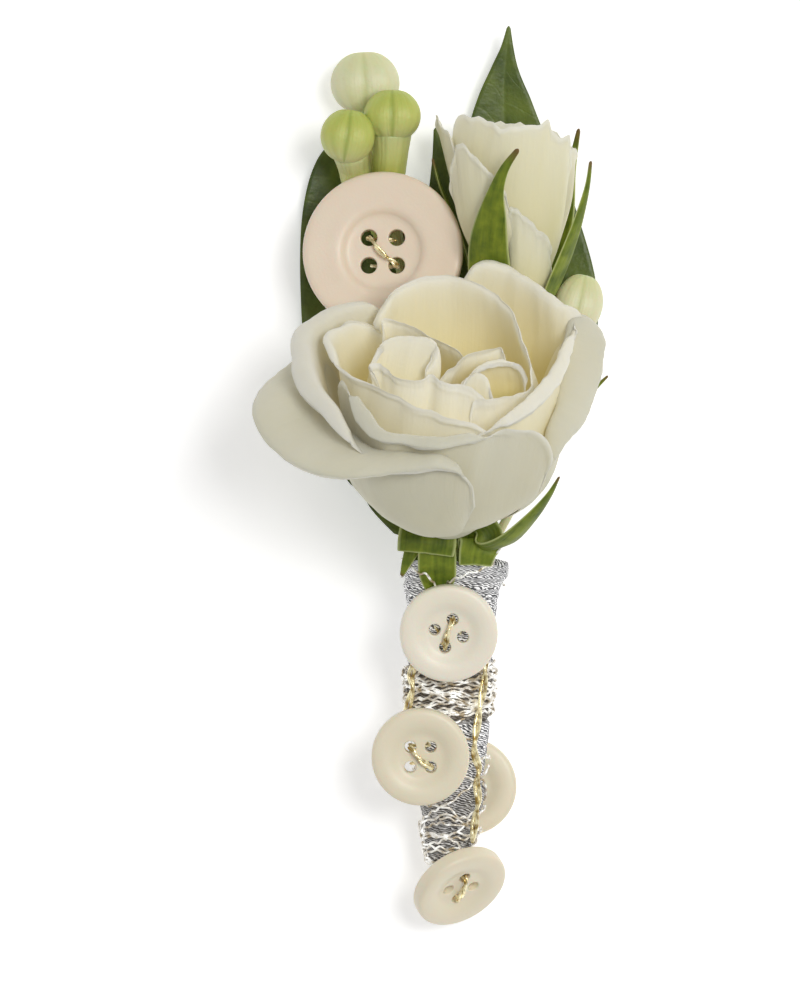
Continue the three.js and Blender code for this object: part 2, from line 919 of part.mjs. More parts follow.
// All petals of a bloom grown together round its heart, cut level just above the hip.
function bloom(petals, core, thickness) {
  let made = lathe(core, 16);
  for (const petal of Object.values(petals)) {
    const columns = Math.max(5, petal.rim.length - 2);
    made = made.add(bladeOf(petalGrid(petal, columns), thickness));
  }
  return made.trimByPlane([0, 0, 1], GAP - thickness / 2 + 0.3);
}

// The grid of a blade about its midrib, the edges turned toward the side that it faces.
function blade(midrib, facing, fold, thickness, stations) {
  const line = along(midrib, stations);
  const widths = midrib.map((p) => p[3]);
  const up = vector(facing).normalize();
  const grid = line.map((point, i) => {
    const next = line[Math.min(i + 1, stations)];
    const last = line[Math.max(i - 1, 0)];
    const run = next.clone().sub(last).normalize();
    const side = run.clone().cross(up).normalize();
    const lift = side.clone().cross(run);
    const width = valueAt(widths, i / stations);
    return [-1, -0.55, 0, 0.55, 1].map((s) =>
      point
        .clone()
        .addScaledVector(side, s * width)
        .addScaledVector(lift, fold * width * Math.abs(s)),
    );
  });
  return bladeOf(grid, thickness);
}

// A round stem through points that carry their own radius.
function stem(points, sides, stations) {
  const line = along(points, stations);
  const radii = points.map((p) => p[3]);
  const rings = line.map((point, i) => {
    const next = line[Math.min(i + 1, stations)];
    const last = line[Math.max(i - 1, 0)];
    const run = next.clone().sub(last).normalize();
    const side = run.clone().cross(new THREE.Vector3(0, 0, 1)).normalize();
    const lift = side.clone().cross(run);
    const radius = valueAt(radii, i / stations);
    return Array.from({ length: sides }, (_, k) => {
      const angle = (2 * Math.PI * k) / sides;
      return point
        .clone()
        .addScaledVector(side, radius * Math.cos(angle))
        .addScaledVector(lift, radius * Math.sin(angle));
    });
  });
  return solidOf(skin(rings));
}

// A thread of even radius through the points, its section a regular polygon.
function thread(points, radius, sides, steps) {
  const outline = new THREE.Shape();
  const corners = Array.from({ length: sides }, (_, k) =>
    new THREE.Vector2(radius, 0).rotateAround(new THREE.Vector2(), (2 * Math.PI * k) / sides),
  );
  outline.setFromPoints(corners);
  const extrudePath = new THREE.CatmullRomCurve3(points);
  return solidOf(
    new THREE.ExtrudeGeometry(outline, { steps, bevelEnabled: false, extrudePath }),
  );
}

// A balloon bud: a ball with four lobes and a dimple where their tips meet.
function budOf({ at, size, lean }) {
  const ball = new THREE.SphereGeometry(1, 16, 7);
  const position = ball.getAttribute("position");
  for (let i = 0; i < position.count; i++) {
    const p = new THREE.Vector3().fromBufferAttribute(position, i);
    const round = Math.hypot(p.x, p.z);
    const lobes = 1 - 0.07 * Math.cos(4 * Math.atan2(p.z, p.x)) * round;
    const dimple = p.y > 0 ? 0.14 * Math.exp(-((round / 0.35) ** 2)) : 0;
    position.setXYZ(i, p.x * lobes, p.y - dimple, p.z * lobes);
  }
  ball.scale(...size);
  ball.rotateZ(THREE.MathUtils.degToRad(lean));
  ball.translate(...at);
  return solidOf(ball);
}

// The sleeve's middle and half sizes at a given y.
function sleeveAt(y) {
  const after = SLEEVE.findIndex((station) => station[0] <= y);
  const low = SLEEVE[Math.max(after, 1) - 1];
  const high = SLEEVE[after < 0 ? SLEEVE.length - 1 : Math.max(after, 1)];
  const share = THREE.MathUtils.clamp((y - low[0]) / (high[0] - low[0]), 0, 1);
  return low.map((value, i) => value + (high[i] - value) * share);
}

// The point a given distance off the sleeve's outside, at y and the angle from +X over the top.
function aroundSleeve(y, degrees, off) {
  const [, x, z, wide, high] = sleeveAt(y);
  const angle = THREE.MathUtils.degToRad(degrees);
  return new THREE.Vector3(
    x + (wide + off) * Math.cos(angle),
    y,
    z + (high + off) * Math.sin(angle),
  );
}

// The ribbon wound round the stems, open at the top and closed at the stems' end.
function sleeve() {
  const ring = (y, off) =>
    Array.from({ length: 22 }, (_, k) => aroundSleeve(y, -(360 * k) / 22, off));
  const levels = SLEEVE.map((station) => station[0]);
  const outer = solidOf(skin(levels.map((y) => ring(y, 0))));
  const inside = [levels[0] + 1, ...levels.slice(1, -1), levels.at(-1) + 1];
  return outer.subtract(solidOf(skin(inside.map((y) => ring(y, -SLEEVE_WALL)))));
}

// Strands coiled round the sleeve, fused where they cross.
function winding(strands) {
  const made = strands.map(({ from, to, turns, start }) => {
    const count = Math.ceil(Math.abs(turns) * 11);
    const points = Array.from({ length: count + 1 }, (_, i) => {
      const share = i / count;
      return aroundSleeve(from + (to - from) * share, start + 360 * turns * share, STRAND_OFF);
    });
    return thread(points, WIRE, 4, count);
  });
  return made.reduce((a, b) => a.add(b));
}

// Middles of a button's four holes, counted from the upper right round to the lower right.
function holesOf({ spin, large }) {
  const [apart] = large ? LARGE_HOLES : SMALL_HOLES;
  return [0, 1, 2, 3].map((k) =>
    heading(45 + 90 * k + spin).multiplyScalar(apart / Math.SQRT2),
  );
}

// A dished button with four drilled holes.
function buttonOf(button) {
  const radius = (button.large ? LARGE_HOLES : SMALL_HOLES)[1];
  const body = button.large ? lathe(LARGE_PROFILE, 32) : lathe(SMALL_PROFILE, 24);
  return holesOf(button).reduce((made, { x, y }) => {
    const drill = new THREE.CylinderGeometry(radius, radius, 9, 9).rotateX(Math.PI / 2);
    return made.subtract(solidOf(drill.translate(x, y, 0)));
  }, body);
}

// The gold thread of a button: up through one hole, across the dish and down the other.
function tieOf(button) {
  const holes = holesOf(button);
  const [first, second] = button.tie.map((k) => holes[k]);
  const top = (button.large ? 1.4 : 1.2) + GAP + THREAD;
  const at = (share, height) => {
    const p = first.clone().lerp(second, share);
    p.z = height;
    return p;
  };
  return thread(
    [at(0, 0.2), at(0, 1), at(0.14, top), at(0.5, top + 0.25), at(0.86, top), at(1, 1), at(1, 0.2)],
    THREAD,
    5,
    10,
  );
}

const radians = THREE.MathUtils.degToRad;

function groupOf(name, at, turns = [0, 0, 0]) {
  const group = new THREE.Group();
  group.name = name;
  group.position.set(...at);
  group.rotation.set(...turns.map(radians), "ZYX");
  group.updateMatrixWorld();
  return group;
}

// Points with a fourth value, brought from the part's frame into a group's own.
function pointsIn(group, points) {
  return points.map((p) => [...group.worldToLocal(vector(p)), p[3]]);
}

// A direction brought from the part's frame into a group's own.
function headingIn(group, facing) {
  return vector(facing).applyQuaternion(group.quaternion.clone().invert()).toArray();
}

// A hip with its stalk and sepals, kept clear of the petals that stand on it: what is cut away is
// the bloom grown thicker, and the bloom moved a little to each side for the petals' edges.
function calyx(hip, stalk, sepals, petals, core) {
  const made = sepals.reduce((a, b) => a.add(b), hip.add(stalk));
  const close = bloom(petals, core, PETAL + GAP);
  const aside = [0, 90, 180, 270].map((turn) => heading(turn).multiplyScalar(0.8 * GAP));
  const cutters = [bloom(petals, core, PETAL + 2.5 * GAP), close];
  cutters.push(...aside.map((way) => close.translate(way.toArray())));
  return cutters.reduce((kept, cutter) => kept.subtract(cutter), made);
}

function roseGroup() {
  const rose = groupOf("rose", ROSE_FOOT, [-ROSE_TILT, 0, 0]);
  const stalk = stem(pointsIn(rose, ROSE_STEM), 8, 8);
  const sepals = ROSE_SEPALS.map(({ midrib, facing, fold }) =>
    blade(pointsIn(rose, midrib), headingIn(rose, facing), fold, SEPAL, 6),
  );
  const green = calyx(lathe(ROSE_HIP, 16), stalk, sepals, ROSE_PETALS, ROSE_CORE);
  rose.add(meshOf("rose_petals", bloom(ROSE_PETALS, ROSE_CORE, PETAL), CREAM));
  rose.add(meshOf("rose_calyx", green, GREEN));
  return rose;
}

function budGroup() {
  const bud = groupOf("rosebud", BUD_FOOT, [-BUD_TILT, 0, BUD_LEAN]);
  const stalk = stem(pointsIn(bud, BUD_STEM), 6, 9);
  const sepals = BUD_SEPALS.map(({ midrib, facing, fold }) =>
    blade(midrib, facing, fold, SEPAL, 7),
  );
  const green = calyx(lathe(BUD_HIP, 14), stalk, sepals, BUD_PETALS, BUD_CORE);
  bud.add(meshOf("rosebud_petals", bloom(BUD_PETALS, BUD_CORE, PETAL), CREAM));
  bud.add(meshOf("rosebud_calyx", green, GREEN));
  return bud;
}

function bouvardiaGroup() {
  const group = groupOf("bouvardia", [0, 0, 0]);
  const sprig = GREEN_BUDS.reduce(
    (made, one) => made.add(budOf(one)).add(stem(one.tube, 8, 5)),
    stem(SPRIG_STEM, 6, 10),
  );
  const cream = budOf(CREAM_BUD).add(stem(CREAM_STEM, 5, 9));
  const side = budOf(SIDE_BUD).add(stem(SIDE_STEM, 5, 6));
  group.add(meshOf("bouvardia_green_buds", sprig, LIME));
  group.add(meshOf("bouvardia_cream_bud", cream, PALE_BUD));
  group.add(meshOf("bouvardia_side_bud", side, PALE_BUD));
  return group;
}

function leafGroup() {
  const group = groupOf("leaves", [0, 0, 0]);
  for (const [name, { midrib, fold, stalk }] of Object.entries(LEAVES)) {
    const surface = blade(midrib, [0, 0, 1], fold, LEAF, 9);
    const made = surface.add(stem(stalk, 5, 5));
    group.add(meshOf(name, made, DEEP_GREEN));
  }
  return group;
}

function bindingGroup() {
  const group = groupOf("binding", [0, 0, 0]);
  group.add(meshOf("ribbon_sleeve", sleeve(), RIBBON));
  for (const [name, strands] of Object.entries(WIRES)) {
    group.add(meshOf(name, winding(strands), SILVER));
  }
  const off = STRAND_OFF + WIRE + GAP + CORD;
  for (const [name, points] of Object.entries(CORDS)) {
    const line = points.map(([y, angle]) => aroundSleeve(y, angle, off));
    group.add(meshOf(name, thread(line, CORD, 5, 22), GOLD));
  }
  return group;
}

function buttonGroup(name, button) {
  const { at, tip, roll, turn, large } = button;
  const group = groupOf(name + "_sewn", at, [tip, roll, turn]);
  group.add(meshOf(name, buttonOf(button), large ? BLUSH : IVORY));
  group.add(meshOf(name.replace("button", "tie"), tieOf(button), GOLD));
  return group;
}

const whole = groupOf("boutonniere", SHIFT);
whole.add(roseGroup(), budGroup(), bouvardiaGroup(), leafGroup(), bindingGroup());
for (const [name, button] of Object.entries(BUTTONS)) whole.add(buttonGroup(name, button));
export default whole;
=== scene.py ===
"""Looks of the lying boutonniere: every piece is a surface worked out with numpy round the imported
CAD model, in the same frame. Tables and formulas are in millimetres; build() turns them to metres.
"""

import bpy
import numpy as np
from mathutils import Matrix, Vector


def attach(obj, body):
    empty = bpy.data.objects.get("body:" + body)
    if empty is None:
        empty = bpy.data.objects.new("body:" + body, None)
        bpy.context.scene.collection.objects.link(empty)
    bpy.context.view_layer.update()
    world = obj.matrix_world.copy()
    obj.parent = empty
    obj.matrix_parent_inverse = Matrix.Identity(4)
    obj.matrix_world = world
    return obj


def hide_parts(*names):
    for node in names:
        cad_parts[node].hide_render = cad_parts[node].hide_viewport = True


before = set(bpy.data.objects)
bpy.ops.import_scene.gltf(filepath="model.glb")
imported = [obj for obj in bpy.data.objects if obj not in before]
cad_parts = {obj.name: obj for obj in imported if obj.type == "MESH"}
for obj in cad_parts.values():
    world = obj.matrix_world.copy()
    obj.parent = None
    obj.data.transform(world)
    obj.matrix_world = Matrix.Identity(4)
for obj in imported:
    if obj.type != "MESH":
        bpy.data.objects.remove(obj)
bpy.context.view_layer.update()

MM = 0.001
SHIFT = np.array([-0.3, -0.81, 0.0])  # brings the middle of the model's box over the origin
UP = np.array([0.0, 0.0, 1.0])
ROUND = 6.28  # about one full turn in radians
POINT_ROWS = ("verts", "blade", "reach")  # the rows of a solid that have one entry per vertex

# Where the blooms stand, and how they are turned about X, Y and Z in degrees.
ROSE_FOOT = (2.2, -5.1, 17.5)
ROSE_TURN = (-53.13, 0, 0)
BUD_FOOT = (11.4, 22.9, 8.4)
BUD_TURN = (-75, 0, 4.2)

# How thick petals, sepals and leaves are.
PETAL = 0.3
SEPAL = 0.4
LEAF = 0.45
PETAL_TAPER = 2.8  # how far in from its border a petal starts to thin
CORNER = 0.08  # the share of a petal's rim at each end that is rounded off

# Waves of a petal's rim as height, size and what is added to the petal's seed; and waves of its
# wall as height, size, the length that the petal counts for, the power of their growth toward the
# rim, and what is added to the seed.
RIM_WAVES = [(0.2, 6, 0), (0.06, 1.7, 3)]
WALL_WAVES = [(0.25, 14, 20, 3, 1), (0.08, 5, 12, 6, 2)]

VEIN_SPACING = 4.5  # between the slanted veins of a leaf
VEIN_SLANT = 1.1  # how far they rise for each millimetre across
CORD_OFF = 1.42  # from the sleeve's outside to the middle of a gold cord
COIL_STEPS = 110  # points of a wire for each turn round the sleeve
WAY_ROUND = 28  # about the length of such a turn
THREAD = 0.19  # radius of both strands of a sewing thread, and of the coil that they wind in
ARC_STEPS = 20  # columns of a button along a quarter of its round dish
STRAIGHT_STEPS = 8  # columns along each straight side of such a quarter

# Seeds that tell the materials pointed and blunt sepals and the balls of buds from stalks, which
# have seed 0.
POINTED = 1.0
BLUNT = 2.0
BALL_SEED = 1.0
BLUNT_SEPALS = 3  # how many of the rose's sepals end bluntly, the first ones in their table

# Petals: heading and half width in degrees; the belly's radius and height, and the across and back
# of the middle that it swells from; swell of the wall; and rim points as across, back, height and
# the width of the lip, which rolls outward, or inward where it is negative. The rose's first three
# petals are its outermost.
ROSE_PETALS = {
    "outer_left_front": (217, 61, (11, 9.5, 0, -4), 0.8, [
        (-16.5, 12.4, 18, 1.5), (-19.9, 8.2, 18.6, 3.6), (-23.5, 3.3, 18.5, 6), (-24.6, -2, 18.5, 8),
        (-23, -7, 18, 9), (-18.6, -13.4, 18.5, 8), (-12.3, -16.8, 19.5, 5), (-6.1, -16.9, 20.5, 2.5),
        (-0.9, -16.9, 21, 1.5), (2.6, -17.2, 19, 0.5), (3.5, -16.9, 16, 0.2),
    ]),
    "outer_right": (2, 48, (13, 9, 0, 0), 0.8, [
        (13.8, -9.6, 18, 2.4), (15.8, -5.6, 18.5, 3.2), (17.7, -1.7, 19, 4), (19, 3.6, 19.5, 4.8),
        (19.7, 7.6, 20.5, 5.2), (19.4, 10.6, 21.5, 4.4), (17.8, 13.4, 22, 2.6), (15.8, 15.4, 21.6, 1),
        (13.6, 16.4, 20.8, 0.3),
    ]),
    "front": (256, 66, (12.6, 8.8, 0, 0), 1.2, [
        (-14, -1.4, 24.6, 0.2), (-13.4, -2.6, 24.4, 0.3), (-12.8, -3.6, 24, 0.3),
        (-12.5, -5.7, 23.8, 0.7), (-12, -8.2, 23.6, 1.3), (-11.3, -10.7, 23.5, 1.8),
        (-10.1, -13.3, 23.5, 1.6), (-8.1, -14.7, 23.5, 1.3), (-5.9, -15.3, 23.5, 1.2),
        (-3.5, -15.8, 23.5, 1.3), (-0.7, -15.8, 23.5, 1.2), (2.1, -15.1, 23.5, 1.1),
        (4.3, -13.9, 23.5, 0.7), (6, -12.6, 23.5, 0.4), (7.9, -11.3, 23, 0.2), (10.2, -10.2, 22, 0.2),
        (11.9, -10.2, 20.8, 0.2), (12.8, -10.4, 19, 0.2), (12.7, -10.7, 16.8, 0.2),
        (11.4, -10.2, 13, 0.2),
    ]),
    "outer_left": (178, 58, (11.5, 9, -0.5, 1.8), 0.6, [
        (-8.5, 15.5, 23.5, 1.2), (-13.1, 14.1, 23.5, 1.5), (-17.3, 12.2, 23, 2), (-19.5, 8.7, 23, 2.4),
        (-19.8, 2.7, 23, 2.4), (-18.8, -1.7, 22.5, 2.3), (-16.6, -6.6, 22.5, 1.9),
        (-14.1, -10.9, 22.4, 1.2), (-12.2, -13, 21.8, 0.6), (-10.3, -14, 20.7, 0.2),
        (-8.2, -14.4, 19, 0.2),
    ]),
    "outer_back_right": (62, 40, (14.5, 10, 0, 0), 1, [
        (17.3, 12.2, 23.5, 1.2), (14.2, 13.3, 24.6, 1.2), (11.1, 16.9, 25.2, 1.2),
        (7.9, 19.3, 25.8, 1.2), (5, 19.7, 26.3, 1.2), (2.2, 18.8, 25.8, 0.8),
    ]),
    "right_middle": (-30, 66, (12, 11, 0, 0), 1, [
        (1.5, -11.4, 20.5, 0.2), (3.4, -11.7, 22.4, 0.4), (6.1, -11.8, 23.5, 0.8),
        (9, -10.2, 23.7, 1.3), (12.3, -5.7, 24, 1.5), (14.7, -0.4, 24, 1.4), (15.8, 4.6, 24, 1.1),
        (16.2, 8.6, 23.9, 0.6), (15.8, 11.2, 23.2, 0.2), (14.8, 12.8, 21.6, 0.2),
    ]),
    "back": (62, 78, (11.5, 12, 0, 0), 1, [
        (10.5, -3.2, 24, 0.3), (10.2, -0.1, 25, 0.3), (9.1, 5, 25.5, 0.4), (7.9, 9.8, 26, 0.5),
        (5.8, 13.9, 26, 0.5), (2.8, 16.1, 26.5, 0.5), (-0.4, 17.2, 26.5, 0.5), (-3.6, 16.3, 26.5, 0.5),
        (-6.6, 14.6, 26, 0.6), (-9.4, 11.3, 25.5, 0.8),
    ]),
    "left_inner": (207, 85, (10.5, 12, 0, 0), 1, [
        (-9.1, 10.7, 24.5, 0.3), (-12.5, 9.6, 24.5, 0.6), (-15.4, 6.8, 24.5, 0.8),
        (-15, 2.1, 24.5, 0.8), (-13.5, -0.6, 24.3, 0.4), (-11.7, -2.2, 24.2, 0.3), (-9.9, -3, 24, 0.3),
        (-8.1, -4.5, 24, 0.3), (-6.4, -6, 23.9, 0.3), (-4.2, -7.7, 23.8, 0.3), (-0.7, -9.6, 23.7, 0.3),
        (2.6, -10.9, 23.5, 0.3), (4.8, -11.4, 22.6, 0.3), (6, -11.4, 21, 0.3),
    ]),
    "back_inner": (112, 50, (8.5, 13, 0, 0), 0.5, [
        (1.8, 1.4, 25.5, 0.2), (-1.1, 3.1, 26, 0.2), (-3.6, 5.4, 26, 0.2), (-6.1, 7.4, 26, 0.3),
        (-8.3, 8, 26, 0.3), (-8.4, 6.1, 25.5, 0.3),
    ]),
    "front_inner": (242, 58, (9, 12, 1.5, 0), 1.5, [
        (-8.1, -3, 22.6, 0.2), (-9.2, -1.9, 24.2, 0.2), (-10, -1.2, 25.4, 0.2), (-9, -1, 25.6, 0.2),
        (-7.9, -2.1, 25.5, 0.2), (-6.2, -3.5, 25.3, 0.2), (-3.7, -3.9, 25, 0.2),
        (-2.4, -2.9, 25.2, 0.2), (-0.9, -4.2, 25, 0.2), (1.5, -4.5, 24.6, 0.2), (3.1, -4.8, 24.2, 0.2),
        (4.4, -5.2, 23.2, 0.2), (5.6, -6, 21.6, 0.2), (6.6, -6.8, 19.6, 0.2),
    ]),
    "lobe": (270, 100, (3.3, 17, -5.9, 0.3), 1.3, [
        (-10.1, -0.7, 25.6, -0.3), (-8.9, 1.7, 26, -0.9), (-6.9, 3.1, 26.2, -1.4),
        (-4.5, 3.2, 26.3, -1.6), (-2.1, 2.7, 26.2, -1.5), (-1.4, 1.2, 26, -1.1),
        (-1.7, -0.8, 25.5, -0.7), (-3, -2.2, 24.5, -0.3),
    ]),
    "right_fold": (110, 62, (5, 16, 3, -3), 0.5, [
        (7.2, 1.9, 24.5, 0.2), (6.8, 3.5, 25, 0.3), (4.3, 2.7, 25, 0.2), (2, 1.6, 25, 0.2),
        (0.9, -0.3, 25, 0.2), (-1.1, -2.5, 24.6, 0.2),
    ]),
    "right_curl": (92, 104, (3.4, 19, 5.9, -2.2), 0.4, [
        (10.2, -0.9, 24, -0.3), (8.6, 1.1, 24.4, -0.7), (6.7, 1.1, 24.6, -0.9), (5, 0.7, 24.6, -0.9),
        (3, -0.3, 24.5, -0.8), (2, -2, 24.2, -0.6), (1.5, -3.4, 23.8, -0.3),
    ]),
    "heart_curl": (270, 80, (1.8, 18, 3.4, -4.4), 0.5, [
        (1.3, -4.3, 23.4, -0.3), (2, -3.1, 24.5, -0.7), (3.4, -2.7, 24.9, -1), (4.7, -3.4, 24.7, -1),
        (5.6, -5, 23.8, -0.6), (5.9, -6, 22.4, -0.3),
    ]),
    "right_inner": (-38, 38, (9.5, 13, 0, 0), 1, [
        (2.6, -6, 23, 0.2), (3.9, -5.8, 23.4, 0.2), (5.4, -5.8, 23.5, 0.2), (6.9, -5.4, 23.5, 0.2),
        (8.6, -4.8, 23.5, 0.2), (10.1, -4.2, 23.5, 0.2), (10.7, -2.5, 24, 0.2),
    ]),
}
BUD_PETALS = {
    "front": (262, 76, (5.6, 7, 0, 0), 0.8, [
        (-7.3, -2.5, 25.3, 0.3), (-5.5, -4.7, 26.2, 0.3), (-2.7, -6.6, 25.7, 0.3),
        (-0.5, -7.5, 24.7, 0.3), (1.8, -7.5, 24.8, 0.3), (4.1, -7, 24.8, 0.3), (5.3, -6.5, 24.9, 0.3),
        (5.8, -6, 23.1, 0.3), (7.5, -4.4, 22.3, 0.3), (7.9, -3, 20.2, 0.3),
    ]),
    "back": (70, 82, (5.4, 7, 0, 0), 0.6, [
        (7.5, -0.8, 20.9, 0.3), (8.9, 1.8, 18.8, 0.3), (8, 3.8, 19.4, 0.3), (6.4, 6.2, 20.6, 0.3),
        (3.1, 7.2, 21.7, 0.3), (-0.7, 7.4, 22.2, 0.3), (-4.6, 6.6, 22.8, 0.3), (-6.9, 4.7, 23.3, 0.3),
    ]),
    "left": (178, 36, (4.8, 7, 0, 0), 0.6, [
        (-8.4, 3.8, 22.8, 0.3), (-9, 1.7, 23.9, 0.3), (-9, 0, 25.4, 0.3), (-8.4, -1.7, 24.2, 0.3),
        (-7.3, -3.4, 23.8, 0.3),
    ]),
    "front_left": (232, 42, (5.6, 7, 0, 0), 0.8, [
        (-8, -3, 17.7, 0.3), (-7.6, -4.7, 20.4, 0.3), (-6.3, -6.4, 23.1, 0.3), (-5, -7.6, 21.7, 0.3),
        (-3.4, -8.2, 20, 0.3), (-1.9, -8.3, 18.2, 0.3), (-0.7, -8, 15.8, 0.3),
    ]),
    "front_right": (290, 30, (5.4, 3, 0, 0), 0.5, [
        (-0.9, -7.8, 15.2, 0.3), (0.8, -7.6, 13.7, 0.3), (2.5, -7.1, 11.8, 0.3), (3.9, -6.1, 10, 0.3),
        (4.5, -5.1, 8.4, 0.3), (3.9, -4.1, 6.4, 0.3),
    ]),
    "inner_left": (200, 70, (4.6, 8, 0, 0), 0.5, [
        (-3, 4, 22.5, 0.2), (-5, 1.5, 23, 0.2), (-5, -1.5, 23, 0.2), (-3, -4, 22.5, 0.2),
        (0.5, -4.6, 22, 0.2),
    ]),
    "inner_right": (20, 70, (4.4, 8, 0, 0), 0.5, [
        (2, -3.6, 21.5, 0.2), (4.4, -1.5, 22, 0.2), (4.6, 1.5, 22, 0.2), (2.5, 3.8, 22, 0.2),
        (-0.5, 4.2, 21.5, 0.2),
    ]),
}

# Sepals: the way each faces, its fold, and midrib points as x, y, z and half width; the bud's are in
# its own frame.
ROSE_SEPALS = [
    ((0.05, -0.4, 1), 0.08, [
        (-0.1, -5.1, 17.6, 3.3), (-0.4, -6.4, 19.3, 3.6), (-0.5, -7.8, 19.8, 3.75),
        (-0.7, -9.2, 19.3, 3.6),
    ]),
    ((0, -0.5, 1), 0.08, [
        (1.4, -6.6, 17.4, 1.8), (0.9, -8.6, 18.5, 2.35), (0.8, -10.4, 17.9, 2.45),
        (0.9, -12.2, 16.3, 2.3), (1, -14, 15.1, 1.6),
    ]),
    ((0.25, -0.4, 1), 0.12, [
        (4, -5.4, 16.6, 2.4), (6.2, -7.2, 18, 3), (5.9, -9.1, 18.1, 2.5), (5.6, -10.7, 17.3, 2.15),
    ]),
    ((0.5, -0.65, 0.6), -0.3, [
        (3.4, -6.8, 16.4, 1.5), (6.4, -8.6, 17.8, 2), (9.4, -8, 20.8, 1.9), (12.4, -5.2, 24.2, 1.3),
        (14.8, -2, 27.4, 0.6), (16.1, 0.5, 30, 0.16),
    ]),
    ((0.3, -0.2, -1), 0.1, [
        (3.6, -4.6, 14.7, 1.8), (8.5, -1.5, 11.4, 2.2), (13.5, 4.5, 10.9, 1.6), (18.3, 9.3, 12.4, 0.8),
        (20.6, 11.5, 14, 0.36), (22.6, 13.4, 14.9, 0.15),
    ]),
    ((-0.5, -0.2, 0.8), 0.1, [
        (1, -5.8, 15.7, 1.4), (-1.6, -7.8, 16.4, 1.4), (-2.9, -10.1, 17.2, 0.8),
        (-3.7, -12.1, 17.2, 0.25),
    ]),
]
BUD_SEPALS = [
    ((-0.3, -1, 0), -0.12, [
        (-1.2, -1.6, -1.6, 1.4), (-2.7, -4.4, 0.6, 2.2), (-3.6, -5.7, 3.8, 2.8), (-3.7, -6.5, 7, 2.8),
        (-3.5, -8.1, 10.3, 2.5), (-2.9, -9.2, 13.7, 1.9), (-2.1, -10.2, 17.3, 1),
        (-0.9, -10.9, 20.1, 0.6), (1, -11.7, 22.7, 0.3),
    ]),
    ((0.75, -0.65, 0), -0.12, [
        (1.2, -1.2, -1.6, 1.2), (3.4, -3.4, 0.6, 1.5), (4.8, -4.7, 3.6, 1.6), (6.9, -5.8, 8.4, 1.3),
        (8.3, -6, 12, 0.9), (9.6, -5.6, 16, 0.5), (10.2, -5.2, 19, 0.3),
    ]),
    ((0.7, 0.7, 0), -0.12, [
        (1.1, 1.1, -1.6, 1.2), (3.4, 3.4, 0.6, 1.6), (5.2, 5.1, 4.4, 2), (6.9, 6.6, 10, 1.6),
        (8, 7.2, 15.2, 0.8), (9.3, 7.2, 20.6, 0.3),
    ]),
    ((-1, 0, 0), -0.12, [
        (-1.4, 0.2, -1.6, 1.1), (-4.4, 1.4, 0.6, 1.5), (-6, 2.6, 4.4, 1.6), (-7.2, 3.6, 9.6, 1.3),
        (-9, 2.8, 15, 0.9), (-9.8, 1.2, 19.4, 0.3),
    ]),
    ((-0.3, 1, 0), -0.1, [
        (-0.4, 1.6, -1.6, 1.2), (-0.9, 4.8, 0.6, 1.8), (-1.2, 6.6, 4.5, 2.2), (-1.5, 8.2, 10, 1.8),
        (-1.5, 8.8, 16, 0.5),
    ]),
]

# Leaves: fold, midrib as above, and the stalk's x, y, z and radius.
LEAVES = {
    "leaf_left": (0.16, [
        (-3.5, -7, 7.4, 0.9), (-3.8, -3.4, 5.7, 4), (-3.8, 0.1, 4.7, 6.6), (-5.7, 11.8, 2.4, 9.6),
        (-7.6, 24.7, 0.37, 9.2), (-9.3, 36.3, 0.9, 7.2), (-10.1, 42, 1.4, 4.6),
        (-10.5, 45.5, 1.4, 0.6),
    ], [
        (-3.6, -5, 6.7, 0.5), (-3.3, -7.6, 8, 0.5), (-2.2, -9.4, 11.4, 0.5), (-1.2, -12, 11.6, 0.5),
        (-0.1, -15, 11, 0.5),
    ]),
    "leaf_top": (0.12, [
        (8.7, 5.3, 4.4, 0.9), (10.2, 8.8, 3.8, 4.6), (11.8, 13.5, 3, 7.6), (13, 22.1, 1.2, 8.7),
        (12, 33.7, 0.46, 7), (9.8, 43.5, 1.6, 5.3), (9.5, 49.2, 2.5, 3.5), (9.6, 53, 3.2, 1.85),
        (9.9, 55.8, 3.8, 0.85), (10.1, 58.6, 4.4, 0.2),
    ], [
        (9.3, 7, 4.2, 0.5), (7.2, -3, 6.2, 0.5), (5.6, -11, 8.55, 0.5), (4.6, -16, 7.8, 0.5),
    ]),
    "leaf_mid": (0.12, [
        (4.1, 5.3, 6.4, 0.8), (3.6, 13, 5.8, 2.6), (2.6, 23.3, 4.5, 3.6), (2.6, 33.6, 4.4, 3.2),
        (2.1, 40.7, 4.8, 2), (0.9, 45.6, 5.6, 0.5),
    ], [
        (4, 8, 6.3, 0.5), (3.7, -2, 7, 0.5), (2.9, -11, 7.9, 0.5), (2.6, -18, 6.6, 0.5),
    ]),
}

# The ribbon sleeve's stations: y, x, z, half width, half height; then stems as x, y, z, radius.
SLEEVE = [
    (-10.4, 3, 11.8, 6.5, 5.5), (-12, 3.1, 10.9, 6.5, 5.1), (-15.2, 2.7, 9.6, 5.6, 4.6),
    (-20, 2.5, 8.9, 5.3, 4.5), (-26.8, 2.4, 8.2, 5.2, 4.3), (-34, 2.5, 7.6, 4.6, 3.9),
    (-40.9, 2.7, 7, 3.9, 3.3), (-47.2, 2.4, 6.7, 2.7, 2.4), (-50.2, 2.1, 6.6, 1.7, 1.6),
]
ROSE_STEM = [
    (2.2, -8.2, 15, 1.9), (2.1, -10.6, 11.9, 1.7), (2.1, -14, 10.2, 1.6), (2.2, -20, 9.4, 1.5),
    (1.9, -30, 8.2, 1.4), (1.8, -39, 7.2, 1.1), (1.8, -44.5, 6.8, 0.8),
]
